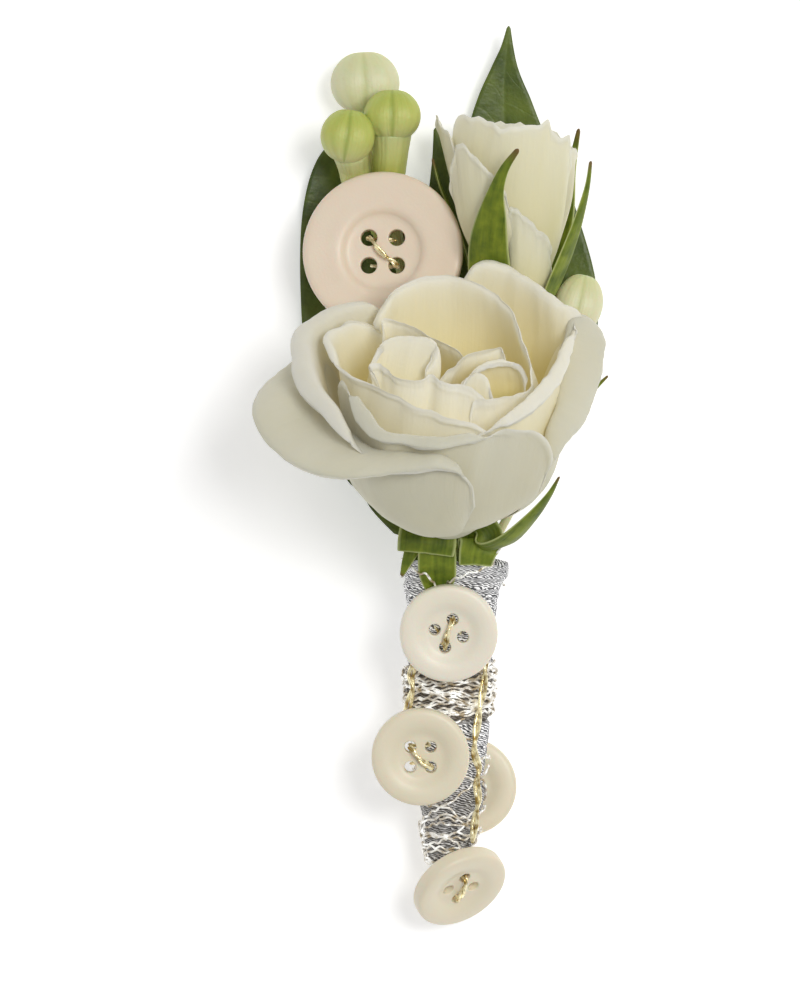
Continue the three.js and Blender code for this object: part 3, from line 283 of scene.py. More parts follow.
BUD_STEM = [
    (11.5, 18.8, 7.2, 1.2), (11, 12, 6.8, 1.1), (8.3, 2, 8, 1.1), (5.6, -9, 10.8, 1.1),
    (5.2, -14, 10.1, 1.1), (4.9, -19, 8.7, 1), (4.6, -30, 7.1, 0.9), (4.4, -38, 6.7, 0.7),
]
SPRIG_STEM = [
    (-4.9, 34.5, 5.5, 0.9), (-3.6, 27, 5.3, 0.8), (-2.2, 19, 4.6, 0.8), (-0.9, 8, 6.4, 0.8),
    (0, -3, 8.2, 0.8), (0.1, -11, 8.9, 0.8), (0.15, -16, 8.1, 0.75), (0.1, -22, 7.4, 0.7),
    (0, -30, 6.7, 0.6),
]
CREAM_STEM = [
    (-8.4, 49, 4.4, 1.6), (-8.2, 45, 4.6, 1.1), (-7.5, 38, 4.3, 0.6), (-5.9, 29, 4.1, 0.55),
    (-4.9, 18, 4.4, 0.55), (-3.4, 4.5, 6.6, 0.55), (-1.8, -6, 9.2, 0.55), (-1.3, -11, 10, 0.55),
    (-0.9, -18, 9.6, 0.5),
]
SIDE_STEM = [
    (18.8, 20.5, 7, 1.6), (18.1, 16, 6.6, 0.8), (15.4, 6, 6, 0.55), (11, -2.5, 7.2, 0.55),
    (7.5, -9.5, 11, 0.55), (6.9, -13, 11.5, 0.5),
]

# Bouvardia buds: middle, half sizes across, along and up, and the lean of the axis in degrees.
CREAM_BUD = ((-8.4, 51.2, 4.25), (4.75, 4, 3.8), 3)
SIDE_BUD = ((19, 22.6, 7.4), (3.3, 3.9, 3.1), -14)
GREEN_BUDS = [
    ((-4.9, 46.75, 9.7), (3.9, 3.3, 3.6), 0,
     [(-5, 45, 9.2, 2.7), (-5.1, 42.4, 8.3, 2.3), (-5.3, 39.7, 6.6, 2.15), (-5.2, 36.6, 5.7, 1.5),
      (-4.8, 33.8, 5.4, 0.9)]),
    ((-10.6, 44, 12), (3.7, 3.4, 3.5), -8,
     [(-10.3, 42.4, 11, 2.4), (-9.9, 40.4, 8.6, 2), (-9.3, 37.6, 7, 1.85), (-7.4, 33.4, 6.1, 1),
      (-4.2, 28.5, 5.4, 0.8)]),
]

# Hearts and hips of the blooms, as radius and height.
ROSE_CORE = [(0, -1), (2.4, -1), (6.4, 3), (9.4, 8), (8.4, 13.5), (4, 17), (0, 17)]
BUD_CORE = [(0, -1), (2.2, -1), (3.6, 3), (3.8, 9), (2.4, 14), (0, 15)]
ROSE_HIP = [(0, -4.8), (1.8, -4.8), (2.6, -3.4), (2.9, -1.9), (2.5, -0.8), (2.9, -0.3), (0, -0.3)]
BUD_HIP = [(0, -4.6), (1.1, -4.6), (1.9, -3.2), (2.3, -1.8), (1.9, -0.8), (2.2, -0.3), (0, -0.3)]

# Buttons: the front's radius and height from the rim's side to the inside of the dish; height of
# the dish's middle; half the distance between neighbouring holes, and their radius; and radius of
# the flat back, greatest radius and height of the round edge between them.
SMALL_BUTTON = {
    "front": [(6.25, 1.5), (6.2, 1.82), (6.05, 2.04), (5.75, 2.18), (5.2, 2.24), (4.6, 2.22),
              (4, 2.1), (3.5, 1.9), (3.05, 1.7), (2.7, 1.6)],
    "middle": 1.5, "hole": (1.3, 0.74), "back": (5.6, 6.25, 0.6),
}
LARGE_BUTTON = {
    "front": [(10.25, 1.85), (10.2, 2.12), (10, 2.36), (9.65, 2.48), (9, 2.5), (7.4, 2.46), (6, 2.44),
              (5.5, 2.36), (5.1, 2.16), (4.8, 1.9), (4.4, 1.74), (3.9, 1.68)],
    "middle": 1.62, "hole": (1.78, 1.06), "back": (9.5, 10.25, 0.6),
}
# Each sewn button: middle of its back, spin of its holes, turns about X, Y and Z, the two holes
# that the gold thread passes through, and how far it goes down behind the button.
BUTTONS = {
    "large": ((-6, 29.2, 9.7), 0, (-5, -4, 0), (1, 3), 0.3),
    "upper": ((2.3, -19.2, 14.85), 30, (8, 0, 0), (0, 2), 1.7),
    "left": ((-1.3, -35, 13.3), 0, (7, 0, 0), (1, 3), 1.7),
    "under": ((4.9, -39.4, 0), 20, (0, 0, 0), (1, 3), -0.4),
    "end": ((3.25, -51.2, 7.2), 6, (52, 0, 33), (0, 2), 1.7),
}

# Rows of a button's middle: share of the way from the hole's wall to the outline, how far the
# hole's edge is rounded off, and height as a share of the front's.
PATCH_ROWS = [(1, 0, 0), (0, 0, 0), (0, 0, 0.5), (0, 0, 0.88), (0, 0.03, 0.975), (0, 0.1, 1),
              (0.12, 0.1, 1), (0.35, 0.05, 1), (0.65, 0, 1), (1, 0, 1)]

# Cords as y and the angle about the sleeve, counted from +X over the top.
CORDS = {
    "cord_right": [(-23.2, 47), (-25.5, 48), (-29.5, 54), (-34.5, 59), (-35.6, 56), (-36.8, 51),
                   (-38.6, 54), (-40.8, 50), (-43, 50), (-46.2, 47)],
    "cord_left": [(-23.2, 132), (-25, 138), (-26.4, 135), (-28, 141), (-29.6, 150), (-30.7, 178),
                  (-31.1, 220), (-30.9, 262)],
}

# Coils of the silver wire round the sleeve: y where they start and end, number of turns, angle at
# the start, radius, seed, how far they stray in y, and how far off the sleeve they lie.
COILS = {
    "top": [(-12.2, -13.2, 0.42, 195, 0.14, 40, 0.1, 0.62)],
    "band": [(-23.6, -30.3, 12, 0, 0.155, 50, 0.5, 0.5), (-30.2, -23.8, 8, 70, 0.155, 60, 0.9, 0.68),
             (-24.2, -30, -3, 40, 0.15, 70, 1.1, 0.86)],
    "lower": [(-36.5 - 0.9 * k, -48.9, (-1) ** k * (0.7 + 0.06 * k), 67 * k, 0.15, 80 + 10 * k, 0.9,
               0.5 + 0.04 * k) for k in range(8)]
             + [(-33, -37, 1.3, 60, 0.15, 200, 0.4, 0.62), (-44, -49, 3.5, 30, 0.15, 210, 0.7, 0.62),
                (-48.8, -45, 2.5, 130, 0.15, 220, 0.7, 0.66)],
}

# Free ends of the silver wire over the sepals, as x, y, z.
LOOSE_WIRES = [
    [(-3.65, -9.95, 15), (-3.18, -10.39, 15.9), (-2, -11.46, 16.8), (-0.67, -11.9, 18),
     (-0.09, -12.34, 17.7), (0.55, -13.24, 16.6), (1.19, -14.15, 15)],
    [(1.95, -13.12, 15.6), (2.62, -12.68, 17), (5.12, -11.68, 17.4), (7.32, -10.93, 16.9),
     (7.87, -10.54, 16.8), (8.08, -9.83, 17.3), (8.79, -8.53, 18.2), (9.48, -7.51, 19)],
]


# Curves and grids

def curve(points, places):
    """Centripetal Catmull-Rom curve through the points, read at places from 0 to 1. Each stretch
    between two points takes an equal share, and its tangents weigh neighbours by the square root of
    their distance. Points may be rows of any shape, so that many curves are read at once."""
    points = np.asarray(points, float)
    points = np.concatenate([2 * points[:1] - points[1:2], points, 2 * points[-1:] - points[-2:-1]])
    place = np.clip(places, 0, 1) * (len(points) - 3)
    low = np.minimum(place.astype(int), len(points) - 4)
    share = (place - low).reshape(-1, *[1] * (points.ndim - 1))
    before, start, end, after = (points[low + k] for k in range(4))
    lead, gap, tail = (np.sqrt(np.linalg.norm(step, axis=-1, keepdims=True)) + 1e-6
                       for step in (start - before, end - start, after - end))
    step = end - start
    leave = gap * ((start - before) / lead - (end - before) / (lead + gap) + step / gap)
    arrive = gap * (step / gap - (after - start) / (gap + tail) + (after - end) / tail)
    bend = 3 * step - 2 * leave - arrive
    return start + share * leave + share**2 * bend + share**3 * (leave + arrive - 2 * step)


def unit(vectors):
    """The vectors at length 1."""
    return vectors / (np.linalg.norm(vectors, axis=-1, keepdims=True) + 1e-12)


def slopes(grid):
    """Unit directions down the rows and across the columns of a grid of points."""
    return unit(np.gradient(grid, axis=0)), unit(np.gradient(grid, axis=1))


def lengths(grid):
    """Distance in millimetres along each column and along each row of a grid."""
    down = np.linalg.norm(np.diff(grid, axis=0), axis=-1).cumsum(0)
    over = np.linalg.norm(np.diff(grid, axis=1), axis=-1).cumsum(1)
    return np.pad(down, ((1, 0), (0, 0))), np.pad(over, ((0, 0), (1, 0)))


def distances(line):
    """Distance in millimetres along a line of points."""
    return lengths(line[None])[1][0]


def axes_along(line, toward):
    """Unit vectors at each point of a line: run along it, side across run and toward, and a third one
    across run and side."""
    run = unit(np.gradient(line, axis=0))
    side = unit(np.cross(run, toward))
    return run, side, np.cross(run, side)


def eased(count):
    """Count + 1 places from 0 to 1 that lie closer together near both ends."""
    return 0.5 - 0.5 * np.cos(np.pi * np.linspace(0, 1, count + 1))


def heading(degrees):
    """Level unit vectors at those angles from +X."""
    angle = np.radians(degrees)
    return np.stack([np.cos(angle), np.sin(angle), 0 * angle], -1)


def turned(turns):
    """Matrix that turns about X, then Y, then Z, by degrees."""
    cos_x, cos_y, cos_z = np.cos(np.radians(turns))
    sin_x, sin_y, sin_z = np.sin(np.radians(turns))
    about_x = np.array([[1, 0, 0], [0, cos_x, -sin_x], [0, sin_x, cos_x]])
    about_y = np.array([[cos_y, 0, sin_y], [0, 1, 0], [-sin_y, 0, cos_y]])
    about_z = np.array([[cos_z, -sin_z, 0], [sin_z, cos_z, 0], [0, 0, 1]])
    return about_z @ about_y @ about_x


def ripple(across, along, size, seed):
    """Smooth waves of height about 1: three sines of the two coordinates over size, with phases and
    slants drawn from the seed."""
    draw = np.random.default_rng(seed)
    total = 0
    for pace in (1, 1.7, 2.9):
        slant = np.sin(draw.uniform(0, ROUND))
        rise = np.cos(draw.uniform(0, ROUND))
        phase = draw.uniform(0, ROUND)
        total = total + np.sin(pace * ROUND * (slant * across + rise * along) / size + phase) / pace
    return total / 1.9


# Solids: a dict of vertices, four-cornered and three-cornered faces, and two vectors per vertex
# that the materials read: "blade" is across, along and seed, "reach" the same in millimetres.

def strips(rows, columns, ring):
    """Corner numbers of the faces between neighbouring rows; a ring joins its last column to its
    first."""
    steps = columns if ring else columns - 1
    row, left = np.meshgrid(np.arange(rows - 1) * columns, np.arange(steps), indexing="ij")
    right = (left + 1) % columns
    below = row + columns
    return np.stack([row + left, row + right, below + right, below + left], -1).reshape(-1, 4)


def leaf_solid(grid, across, along, thickness, taper, seed):
    """A closed leaf about a grid of points. Its faces lie half a thickness to each side along the
    normal, and within taper of the border that half falls to nothing as the square root of the
    distance to it, so that both faces share a thin round edge."""
    rows, columns = grid.shape[:2]
    down, over = slopes(grid)
    normal = unit(np.cross(over, down))
    far, wide = lengths(grid)
    edge = np.minimum(np.minimum(far, far[-1:] - far), np.minimum(wide, wide[:, -1:] - wide))
    half = (0.5 * thickness * np.sqrt(np.clip(edge / taper, 0, 1)))[..., None]
    inner = np.zeros((rows, columns), bool)
    inner[1:-1, 1:-1] = True
    behind = np.arange(rows * columns).reshape(rows, columns)
    behind[inner] = rows * columns + np.arange(inner.sum())
    faces = strips(rows, columns, False)
    blade = np.stack([across, along, np.full_like(across, seed)], -1)
    reach = np.stack([wide - wide[:, -1:] / 2, far, np.full_like(far, seed)], -1)
    return {
        "verts": np.concatenate([(grid + normal * half).reshape(-1, 3), (grid - normal * half)[inner]]),
        "quads": np.concatenate([faces, behind.ravel()[faces[:, ::-1]]]),
        "fans": np.zeros((0, 3), int),
        "blade": np.concatenate([blade.reshape(-1, 3), blade[inner]]),
        "reach": np.concatenate([reach.reshape(-1, 3), reach[inner]]),
    }


def ring_solid(grid, seed=0.0):
    """A closed solid from rings of points, capped by a fan to the middle of each end ring."""
    rows, columns = grid.shape[:2]
    far = lengths(grid)[0]
    turn = np.broadcast_to(np.linspace(0, 1, columns, endpoint=False), (rows, columns))
    share = far / (far[-1:] + 1e-9)
    blade = np.stack([turn, share, np.full_like(far, seed)], -1).reshape(-1, 3)
    around = np.linalg.norm(grid[:, 1] - grid[:, 0], axis=-1)[:, None] * columns * turn
    reach = np.stack([around, far, np.full_like(far, seed)], -1).reshape(-1, 3)
    ends = np.stack([grid[0].mean(0), grid[-1].mean(0)])
    first, last = np.arange(columns), (rows - 1) * columns + np.arange(columns)
    fans = [[np.roll(first, -1), first, np.full(columns, rows * columns)],
            [last, np.roll(last, -1), np.full(columns, rows * columns + 1)]]
    return {
        "verts": np.concatenate([grid.reshape(-1, 3), ends]),
        "quads": strips(rows, columns, True),
        "fans": np.concatenate([np.stack(fan, -1) for fan in fans]),
        "blade": np.concatenate([blade, blade[[0, -1]]]),
        "reach": np.concatenate([reach, reach[[0, -1]]]),
    }


def merged(solids):
    """Several solids as one."""
    starts = np.cumsum([0] + [len(solid["verts"]) for solid in solids])
    joined = {key: np.concatenate([solid[key] for solid in solids]) for key in POINT_ROWS}
    for key in ("quads", "fans"):
        joined[key] = np.concatenate([solid[key] + start for solid, start in zip(solids, starts)])
    return joined


def moved(solid, foot, turns):
    """A solid turned and then carried to its foot."""
    return {**solid, "verts": solid["verts"] @ turned(turns).T + np.array(foot)}


def welded(solid):
    """The solid with vertices joined that lie within a ten-thousandth of a millimetre, unused ones
    left out."""
    used = np.unique(np.concatenate([solid["quads"].ravel(), solid["fans"].ravel()]))
    _, first, number = np.unique(
        np.round(solid["verts"][used], 4) + 0.0, axis=0, return_index=True, return_inverse=True)
    where = np.zeros(len(solid["verts"]), int)
    where[used] = number.ravel()
    joined = {key: solid[key][used[first]] for key in POINT_ROWS}
    return {**joined, "quads": where[solid["quads"]], "fans": where[solid["fans"]]}


def build(name, solid, material, slot, *nodes):
    """The object of a solid: its mesh in metres in the model's frame, riding on the one body."""
    mesh = bpy.data.meshes.new(name)
    quads, fans = solid["quads"], solid["fans"]
    mesh.vertices.add(len(solid["verts"]))
    mesh.vertices.foreach_set("co", ((solid["verts"] + SHIFT) * MM).ravel())
    corners = np.concatenate([quads.ravel(), fans.ravel()])
    mesh.loops.add(len(corners))
    mesh.loops.foreach_set("vertex_index", corners)
    starts = np.concatenate([4 * np.arange(len(quads)), 4 * len(quads) + 3 * np.arange(len(fans))])
    mesh.polygons.add(len(starts))
    mesh.polygons.foreach_set("loop_start", starts)
    mesh.polygons.foreach_set("use_smooth", np.ones(len(starts), bool))
    for key in ("blade", "reach"):
        mesh.attributes.new(key, "FLOAT_VECTOR", "POINT").data.foreach_set("vector", solid[key].ravel())
    mesh.update(calc_edges=True)
    mesh.validate()
    mesh.materials.append(material)
    piece = placed(name, mesh)
    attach(piece, "root")
    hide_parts(*nodes)


def placed(name, data):
    """A new object of a mesh, light or camera, in the scene."""
    made = bpy.data.objects.new(name, data)
    bpy.context.scene.collection.objects.link(made)
    return made


# Petals, leaves and rods

def petal_rim(rim, u, out, belly, bulge, seed, ragged, notch):
    """Points of a petal's rim at the shares u, the width of its lip there, and the distance along it.
    Waves move the rim in and out, waves of the ragged height and notch length lift and lower it, and
    both its corners are drawn toward the wall."""
    rim = curve(rim, u)
    edge, lip = rim[:, :3], rim[:, 3:]
    far = distances(edge)
    waves = sum(height * ripple(far, 0, size, seed + more) for height, size, more in RIM_WAVES)
    edge = edge + out * waves[:, None]
    edge = edge + unit(edge - belly) * (ragged * ripple(far, 0, notch, seed + 4))[:, None]
    corner = 0.3 * np.clip(1 - np.minimum(u, 1 - u) / CORNER, 0, 1)[:, None] ** 2
    edge = edge + (0.5 * (belly + edge) + out * bulge - edge) * corner
    return edge, lip * (1 - corner), far


def petal_lip(edge, lip, out, belly):
    """Crest, rim and tuck of a petal's lip. The crest lies the lip's width inside the rim, and up to
    1.3 mm over it. Where the lip is negative the rim first moves in and down by that width, and the
    crest stays over it. The tuck turns back to the wall. Where the lip is narrower than 1 mm, crest
    and rim go over into a plain edge."""
    rolled = np.clip(np.abs(lip), 0, 1)
    rise = unit(edge - belly)
    edge = edge + (out + 0.6 * UP) * np.minimum(lip, 0)
    crest = edge - out * lip + UP * np.where(lip > 0, np.minimum(0.4 * lip, 1.3), -0.6 * lip)
    crest = crest * rolled + (edge - 2 * rise) * (1 - rolled)
    tuck = edge - (out * 0.3 + UP * 0.5) * np.clip(lip, -0.8, 1.6)
    return crest, edge - rise * (1 - rolled), tuck


def petal_solid(petal, columns, rows, seed, ragged, notch):
    """One petal. A column at share u of the rim has the heading mid + (2u - 1) span, and runs as a
    smooth curve through the foot, the belly, the wall between belly and crest, the crest of the lip,
    the rim and the tuck; v is the share of that curve. The wall bulges except at the sides. Waves
    that grow toward the rim, as a power of v, move the petal along its normal."""
    mid, span, (radius, height, *middle), bulge, rim = petal
    u = eased(columns)
    v = 1 - (1 - np.linspace(0, 1, rows + 1)) ** 1.5
    turn = mid + (2 * u - 1) * span
    out = heading(turn)
    belly = np.array([*middle, height]) + out * radius
    edge, lip, far = petal_rim(rim, u, out, belly, bulge, seed, ragged, notch)
    crest, edge, tuck = petal_lip(edge, lip, out, belly)
    wall = 0.5 * (belly + crest) + out * bulge * (1 - (2 * u - 1)[:, None] ** 8)
    foot = heading(mid + (turn - mid) * 0.7) * 1.9 - UP * 0.6
    grid = curve(np.stack([foot, belly, wall, crest, edge, tuck]), v)
    down, over = slopes(grid)
    across, along = np.meshgrid(u, v)
    waves = sum(height * ripple(far[None], along * length, size, seed + more) * along**power
                for height, size, length, power, more in WALL_WAVES)
    grid = grid + unit(np.cross(over, down)) * waves[..., None]
    return leaf_solid(grid, across, along, PETAL, PETAL_TAPER, seed / 100)


def blade_solid(midrib, facing, fold, thickness, rows, columns, seed, vein=0.0):
    """A leaf or sepal. The midrib's points carry the half width; across it s goes from -1 to 1, and
    the point is midrib + side s width + lift fold width |s|, with side = run x facing and lift =
    side x run. The two ends narrow to points, and vein sinks a groove along the midrib."""
    along = eased(rows)
    s = np.sin(0.5 * np.pi * np.linspace(-1, 1, columns + 1))
    line = curve(midrib, along)
    width = (line[:, 3] * np.sqrt(np.clip(np.minimum(along, 1 - along) / 0.012, 0, 1)))[:, None]
    line = line[:, :3]
    _, side, down = axes_along(line, unit(np.array(facing, float)))
    wide = width * s
    rise = fold * width * (np.sqrt(s**2 + 0.01) - 0.1)
    rise = rise + vein * veins_height(wide, along[:, None] * distances(line)[-1], width)
    grid = line[:, None] + side[:, None] * wide[..., None] - down[:, None] * rise[..., None]
    across = np.broadcast_to(s, grid.shape[:2])
    along = np.broadcast_to(along[:, None], across.shape)
    return leaf_solid(grid, across, along, thickness, thickness, seed)


def veins_height(across, along, width):
    """Depth of the veins' grooves: one along the midrib, and slanted ones that leave it at equal
    spaces and fade toward the edge."""
    midrib = -np.exp(-((across / 0.35) ** 2))
    phase = (along - VEIN_SLANT * np.abs(across)) / VEIN_SPACING
    slanted = -np.exp(-(((phase - np.round(phase)) * VEIN_SPACING / 0.5) ** 2))
    return midrib + 0.5 * slanted * np.clip(1 - np.abs(across) / (width + 0.01), 0, 1)


def rod(line, radii, sides, toward, seed=0.0):
    """Rings of points about a line, capped at both ends with small domes. The first point of a ring
    lies across both the line and toward."""
    run, side, lift = axes_along(line, toward)
    radii = np.broadcast_to(radii, len(line))
    line = np.concatenate([line[:1] - run[:1] * radii[0] * 0.5, line,
                           line[-1:] + run[-1:] * radii[-1] * 0.5])
    radii, side, lift = (np.concatenate([row[:1], row, row[-1:]]) for row in (radii, side, lift))
    dome = np.ones(len(line))
    dome[:2] = 0.55, 0.9
    dome[-2:] = 0.9, 0.55
    angle = (2 * np.pi * np.arange(sides) / sides)[None, :, None]
    ring = side[:, None] * np.cos(angle) + lift[:, None] * np.sin(angle)
    return ring_solid(line[:, None] + ring * (radii * dome)[:, None, None], seed)


def tube_solid(points, sides, rows):
    """A round rod along the smooth curve through the points, each of which carries its radius."""
    points = np.asarray(points, float)
    place = np.linspace(0, 1, rows + 1)
    radii = np.interp(place, np.linspace(0, 1, len(points)), points[:, 3])
    return rod(curve(points[:, :3], place), radii, sides, UP)


def twisted(line, toward, spread, radius, pitch, sides):
    """A cord of two strands: both wind round the line at distance spread, opposite each other, one
    full turn every pitch millimetres."""
    _, side, lift = axes_along(line, toward)
    far = distances(line)
    made = []
    for start in (0, 0.5):
        angle = (2 * np.pi * (far / pitch + start))[:, None]
        path = line + spread * (side * np.cos(angle) - lift * np.sin(angle))
        made.append(rod(path, radius, sides, toward, start))
    return merged(made)


def spun_solid(profile, sides):
    """Points of radius and height turned about Z."""
    ring = heading(360 * np.arange(sides) / sides)
    return ring_solid(ring[None] * profile[:, :1, None] + UP * profile[:, 1:, None])


def lathe_solid(profile, sides, rows):
    """The smooth curve through points of radius and height, turned about Z."""
    profile = curve(profile, np.linspace(0, 1, rows + 1))
    return spun_solid(profile[profile[:, 0] > 1e-3], sides)


# Buttons and their threads

def button_quarter(shape, inside, lip):
    """A quarter of a button's middle: a patch that runs from the quarter's outline on the back to the
    hole, up the hole's wall, and out to the same outline on the front. A point of the hole lies in
    the direction of its outline point. The dish sinks as the square of the radius."""
    half, hole = shape["hole"]
    straight = np.linspace(0, inside, STRAIGHT_STEPS, endpoint=False)
    arc = inside * heading(np.linspace(0, 90, ARC_STEPS, endpoint=False))[:, :2]
    outline = np.concatenate([np.stack([straight, 0 * straight], -1), arc,
                              np.stack([0 * straight, inside - straight], -1)])
    toward = unit(outline - half)
    share, extra, height = np.array(PATCH_ROWS).T[:, :, None]
    start = half + toward * hole
    flat = start[None] + toward[None] * extra[..., None] * (1 - share[..., None])
    flat = flat + (outline - start)[None] * share[..., None]
    top = shape["middle"] + (lip - shape["middle"]) * (np.linalg.norm(flat, axis=-1) / inside) ** 2
    quarter = ring_solid(np.concatenate([flat, (top * height)[..., None]], -1))
    return {**quarter, "quads": quarter["quads"][:, ::-1], "fans": quarter["fans"][:0]}


def button_solid(shape, spin):
    """A four-hole button: four quarters of its middle, and a rim that is the profile turned about Z
    with columns that meet theirs."""
    front = curve(shape["front"], np.linspace(0, 1, 3 * len(shape["front"])))
    inside, lip = front[-1]
    quarter = button_quarter(shape, inside, lip)
    quarters = [moved(quarter, (0, 0, 0), (0, 0, 90 * k)) for k in range(4)]
    flat_back, widest, low = shape["back"]
    bend = np.radians(np.linspace(0, 90, 6))
    back = np.stack([flat_back + (widest - flat_back) * np.sin(bend), low * (1 - np.cos(bend))], -1)
    rim = spun_solid(np.concatenate([[(inside, 0)], back, front]), 4 * ARC_STEPS)
    rim["fans"] = rim["fans"][:0]
    return moved(welded(merged([*quarters, rim])), (0, 0, 0), (0, 0, spin))


def thread_solid(shape, spin, ends, depth):
    """Gold thread of two strands. It comes from the depth under the back by one unused hole, goes up
    through a used one, crosses the dish in a low hump that sways to one side, goes down the other
    used hole and past the last hole down again. A depth below 0 keeps it inside the button."""
    corners = heading(45 + 90 * np.arange(4.0) + spin) * shape["hole"][0] * np.sqrt(2)
    first, last = corners[ends[0]], corners[ends[1]]
    side = corners[(ends[0] + 1) % 4]
    run = UP * min(depth, 0.35)
    top = shape["middle"] + 0.5

    def leg(hole, beyond):
        """From below the unused hole beyond up through the used one and onto the dish."""
        return [beyond * 0.9 - UP * depth, (hole + beyond) / 2 - run, hole + UP * 0.4,
                hole + UP * (top - 0.3), hole * 0.7 + UP * (top + 0.1),
                hole * 0.3 + side * 0.08 + UP * (top + 0.3)]

    line = curve(leg(first, -side) + leg(last, side)[::-1], np.linspace(0, 1, 110))
    beside = unit(np.cross(last - first, UP))
    return twisted(line, beside, spread=THREAD, radius=THREAD, pitch=6, sides=8)


# Buds, sleeve and strands

def ball_solid(at, size, lean):
    """A balloon bud about its Y axis: a ball of the given half sizes, whose radius falls in four
    broad and narrow grooves at the quarter turns and whose slightly raised tip has a small dimple."""
    polar = np.linspace(np.pi - 0.03, 0.03, 49)[:, None]
    turn = -2 * np.pi * np.arange(72)[None] / 72
    level = np.sin(polar)
    groove = np.exp(-((np.sin(2 * turn) / 0.2) ** 2))
    lobes = 1 - (0.06 * np.cos(4 * turn) + 0.05 * groove) * level
    tip = np.where(polar < np.pi / 2, 0.07 * np.exp(-((level / 0.3) ** 2)) - 0.08 * (1 - level), 0)
    grid = np.stack([level * lobes * np.cos(turn), np.cos(polar) - tip + 0 * turn,
                     level * lobes * np.sin(turn)], -1) * np.array(size)
    return moved(ring_solid(grid, BALL_SEED), at, (0, 0, lean))


def sleeve_at(y):
    """Middle and half sizes of the sleeve at y, straight between its stations."""
    table = np.array(SLEEVE, float)[::-1]
    return [np.interp(y, table[:, 0], table[:, k]) for k in (1, 2, 3, 4)]


def around_sleeve(y, degrees, off):
    """Points at a distance off the sleeve's outside, at y and the angle from +X over the top."""
    y, degrees, off = np.broadcast_arrays(y, degrees, off)
    x, z, wide, high = sleeve_at(y)
    angle = np.radians(degrees)
    return np.stack([x + (wide + off) * np.cos(angle), y, z + (high + off) * np.sin(angle)], -1)


def ribbon_solid():
    """The ribbon wound round the stems: off the sleeve's outside it rises by about half a millimetre
    through each turn and drops at the turn's edge, a sawtooth of y and angle, with shallow wrinkles
    on top. Its upper end is frayed and flares on the right. The inside is a plain wall."""
    low, high, wall, pitch = -50.2, -10.4, 0.9, 7.5
    angle = -np.arange(180) * 2.0
    level = np.cos(np.radians(angle))
    y = np.linspace(low, high, 360)[:, None] + 0 * angle
    slant = y - 1.4 * sleeve_at(y)[2] * level
    phase = (slant - 0.5 * ripple(angle * 0.05, y, 9, 4)) / pitch - angle / 360
    saw = phase - np.floor(phase)
    off = 0.5 * np.minimum(saw, (1 - saw) * 14) - 0.15
    off = off + 0.14 * ripple(0.09 * angle, y, 4.4, 9) + 0.04 * ripple(0.07 * angle, y, 1.5, 12)
    off = np.where(y > high - 0.3, np.minimum(off, 0.1), off)
    flare = 0.4 * np.clip((y - high + 3.4) / 2.2, 0, 1) ** 2 * np.clip(level, 0, 1) ** 3
    outer = around_sleeve(y, angle, np.minimum(off, 0.3) + flare)
    frayed = 0.5 * ripple(angle * 0.12, 0, 2.5, 3)
    outer[-3:, :, 1] += np.array([0.2, 0.6, 1.0])[:, None] * frayed
    outer[..., 1] -= flare
    inner = around_sleeve(np.linspace(high, low + 1, 30)[:, None], angle, -wall)
    inner[:1, :, 1] += frayed
    return ring_solid(np.concatenate([outer, inner]))


def coil_solid(first, last, turns, start, radius, seed, stray, off):
    """A crimped wire coiled round the sleeve: y runs from first to last and strays in slow waves,
    and short uneven waves crimp it across and off the sleeve."""
    share = np.linspace(0, 1, int(abs(turns) * COIL_STEPS) + 12)
    length = abs(turns) * share * WAY_ROUND
    y = first + (last - first) * share + stray * ripple(length, 0, 11, seed + 1)
    off = off + 0.12 * ripple(length, 0, 4, seed + 2)
    return crimped(around_sleeve(y, start + 360 * turns * share, off), radius, seed)


def crimped(line, radius, seed):
    """A wire along a line, shifted along Y and outward by waves of about 2 mm and 0.16 mm high."""
    far = distances(line)
    wave = 0.16 * np.sin(2 * np.pi * (far / 2.1 + 0.45 * ripple(far, 0, 7, seed)))
    lift = 0.05 * np.cos(2 * np.pi * far / 1.7)
    return rod(line + np.stack([0 * far, wave, lift], -1), radius, 6, (0, 1, 0), seed / 100)


# Materials

def linear(red, green, blue):
    """A colour given as 0 to 255 on the screen, as linear light."""
    value = np.array([red, green, blue]) / 255
    return (*np.where(value < 0.04045, value / 12.92, ((value + 0.055) / 1.055) ** 2.4), 1.0)


BLACK = linear(0, 0, 0)
WHITE = linear(255, 255, 255)


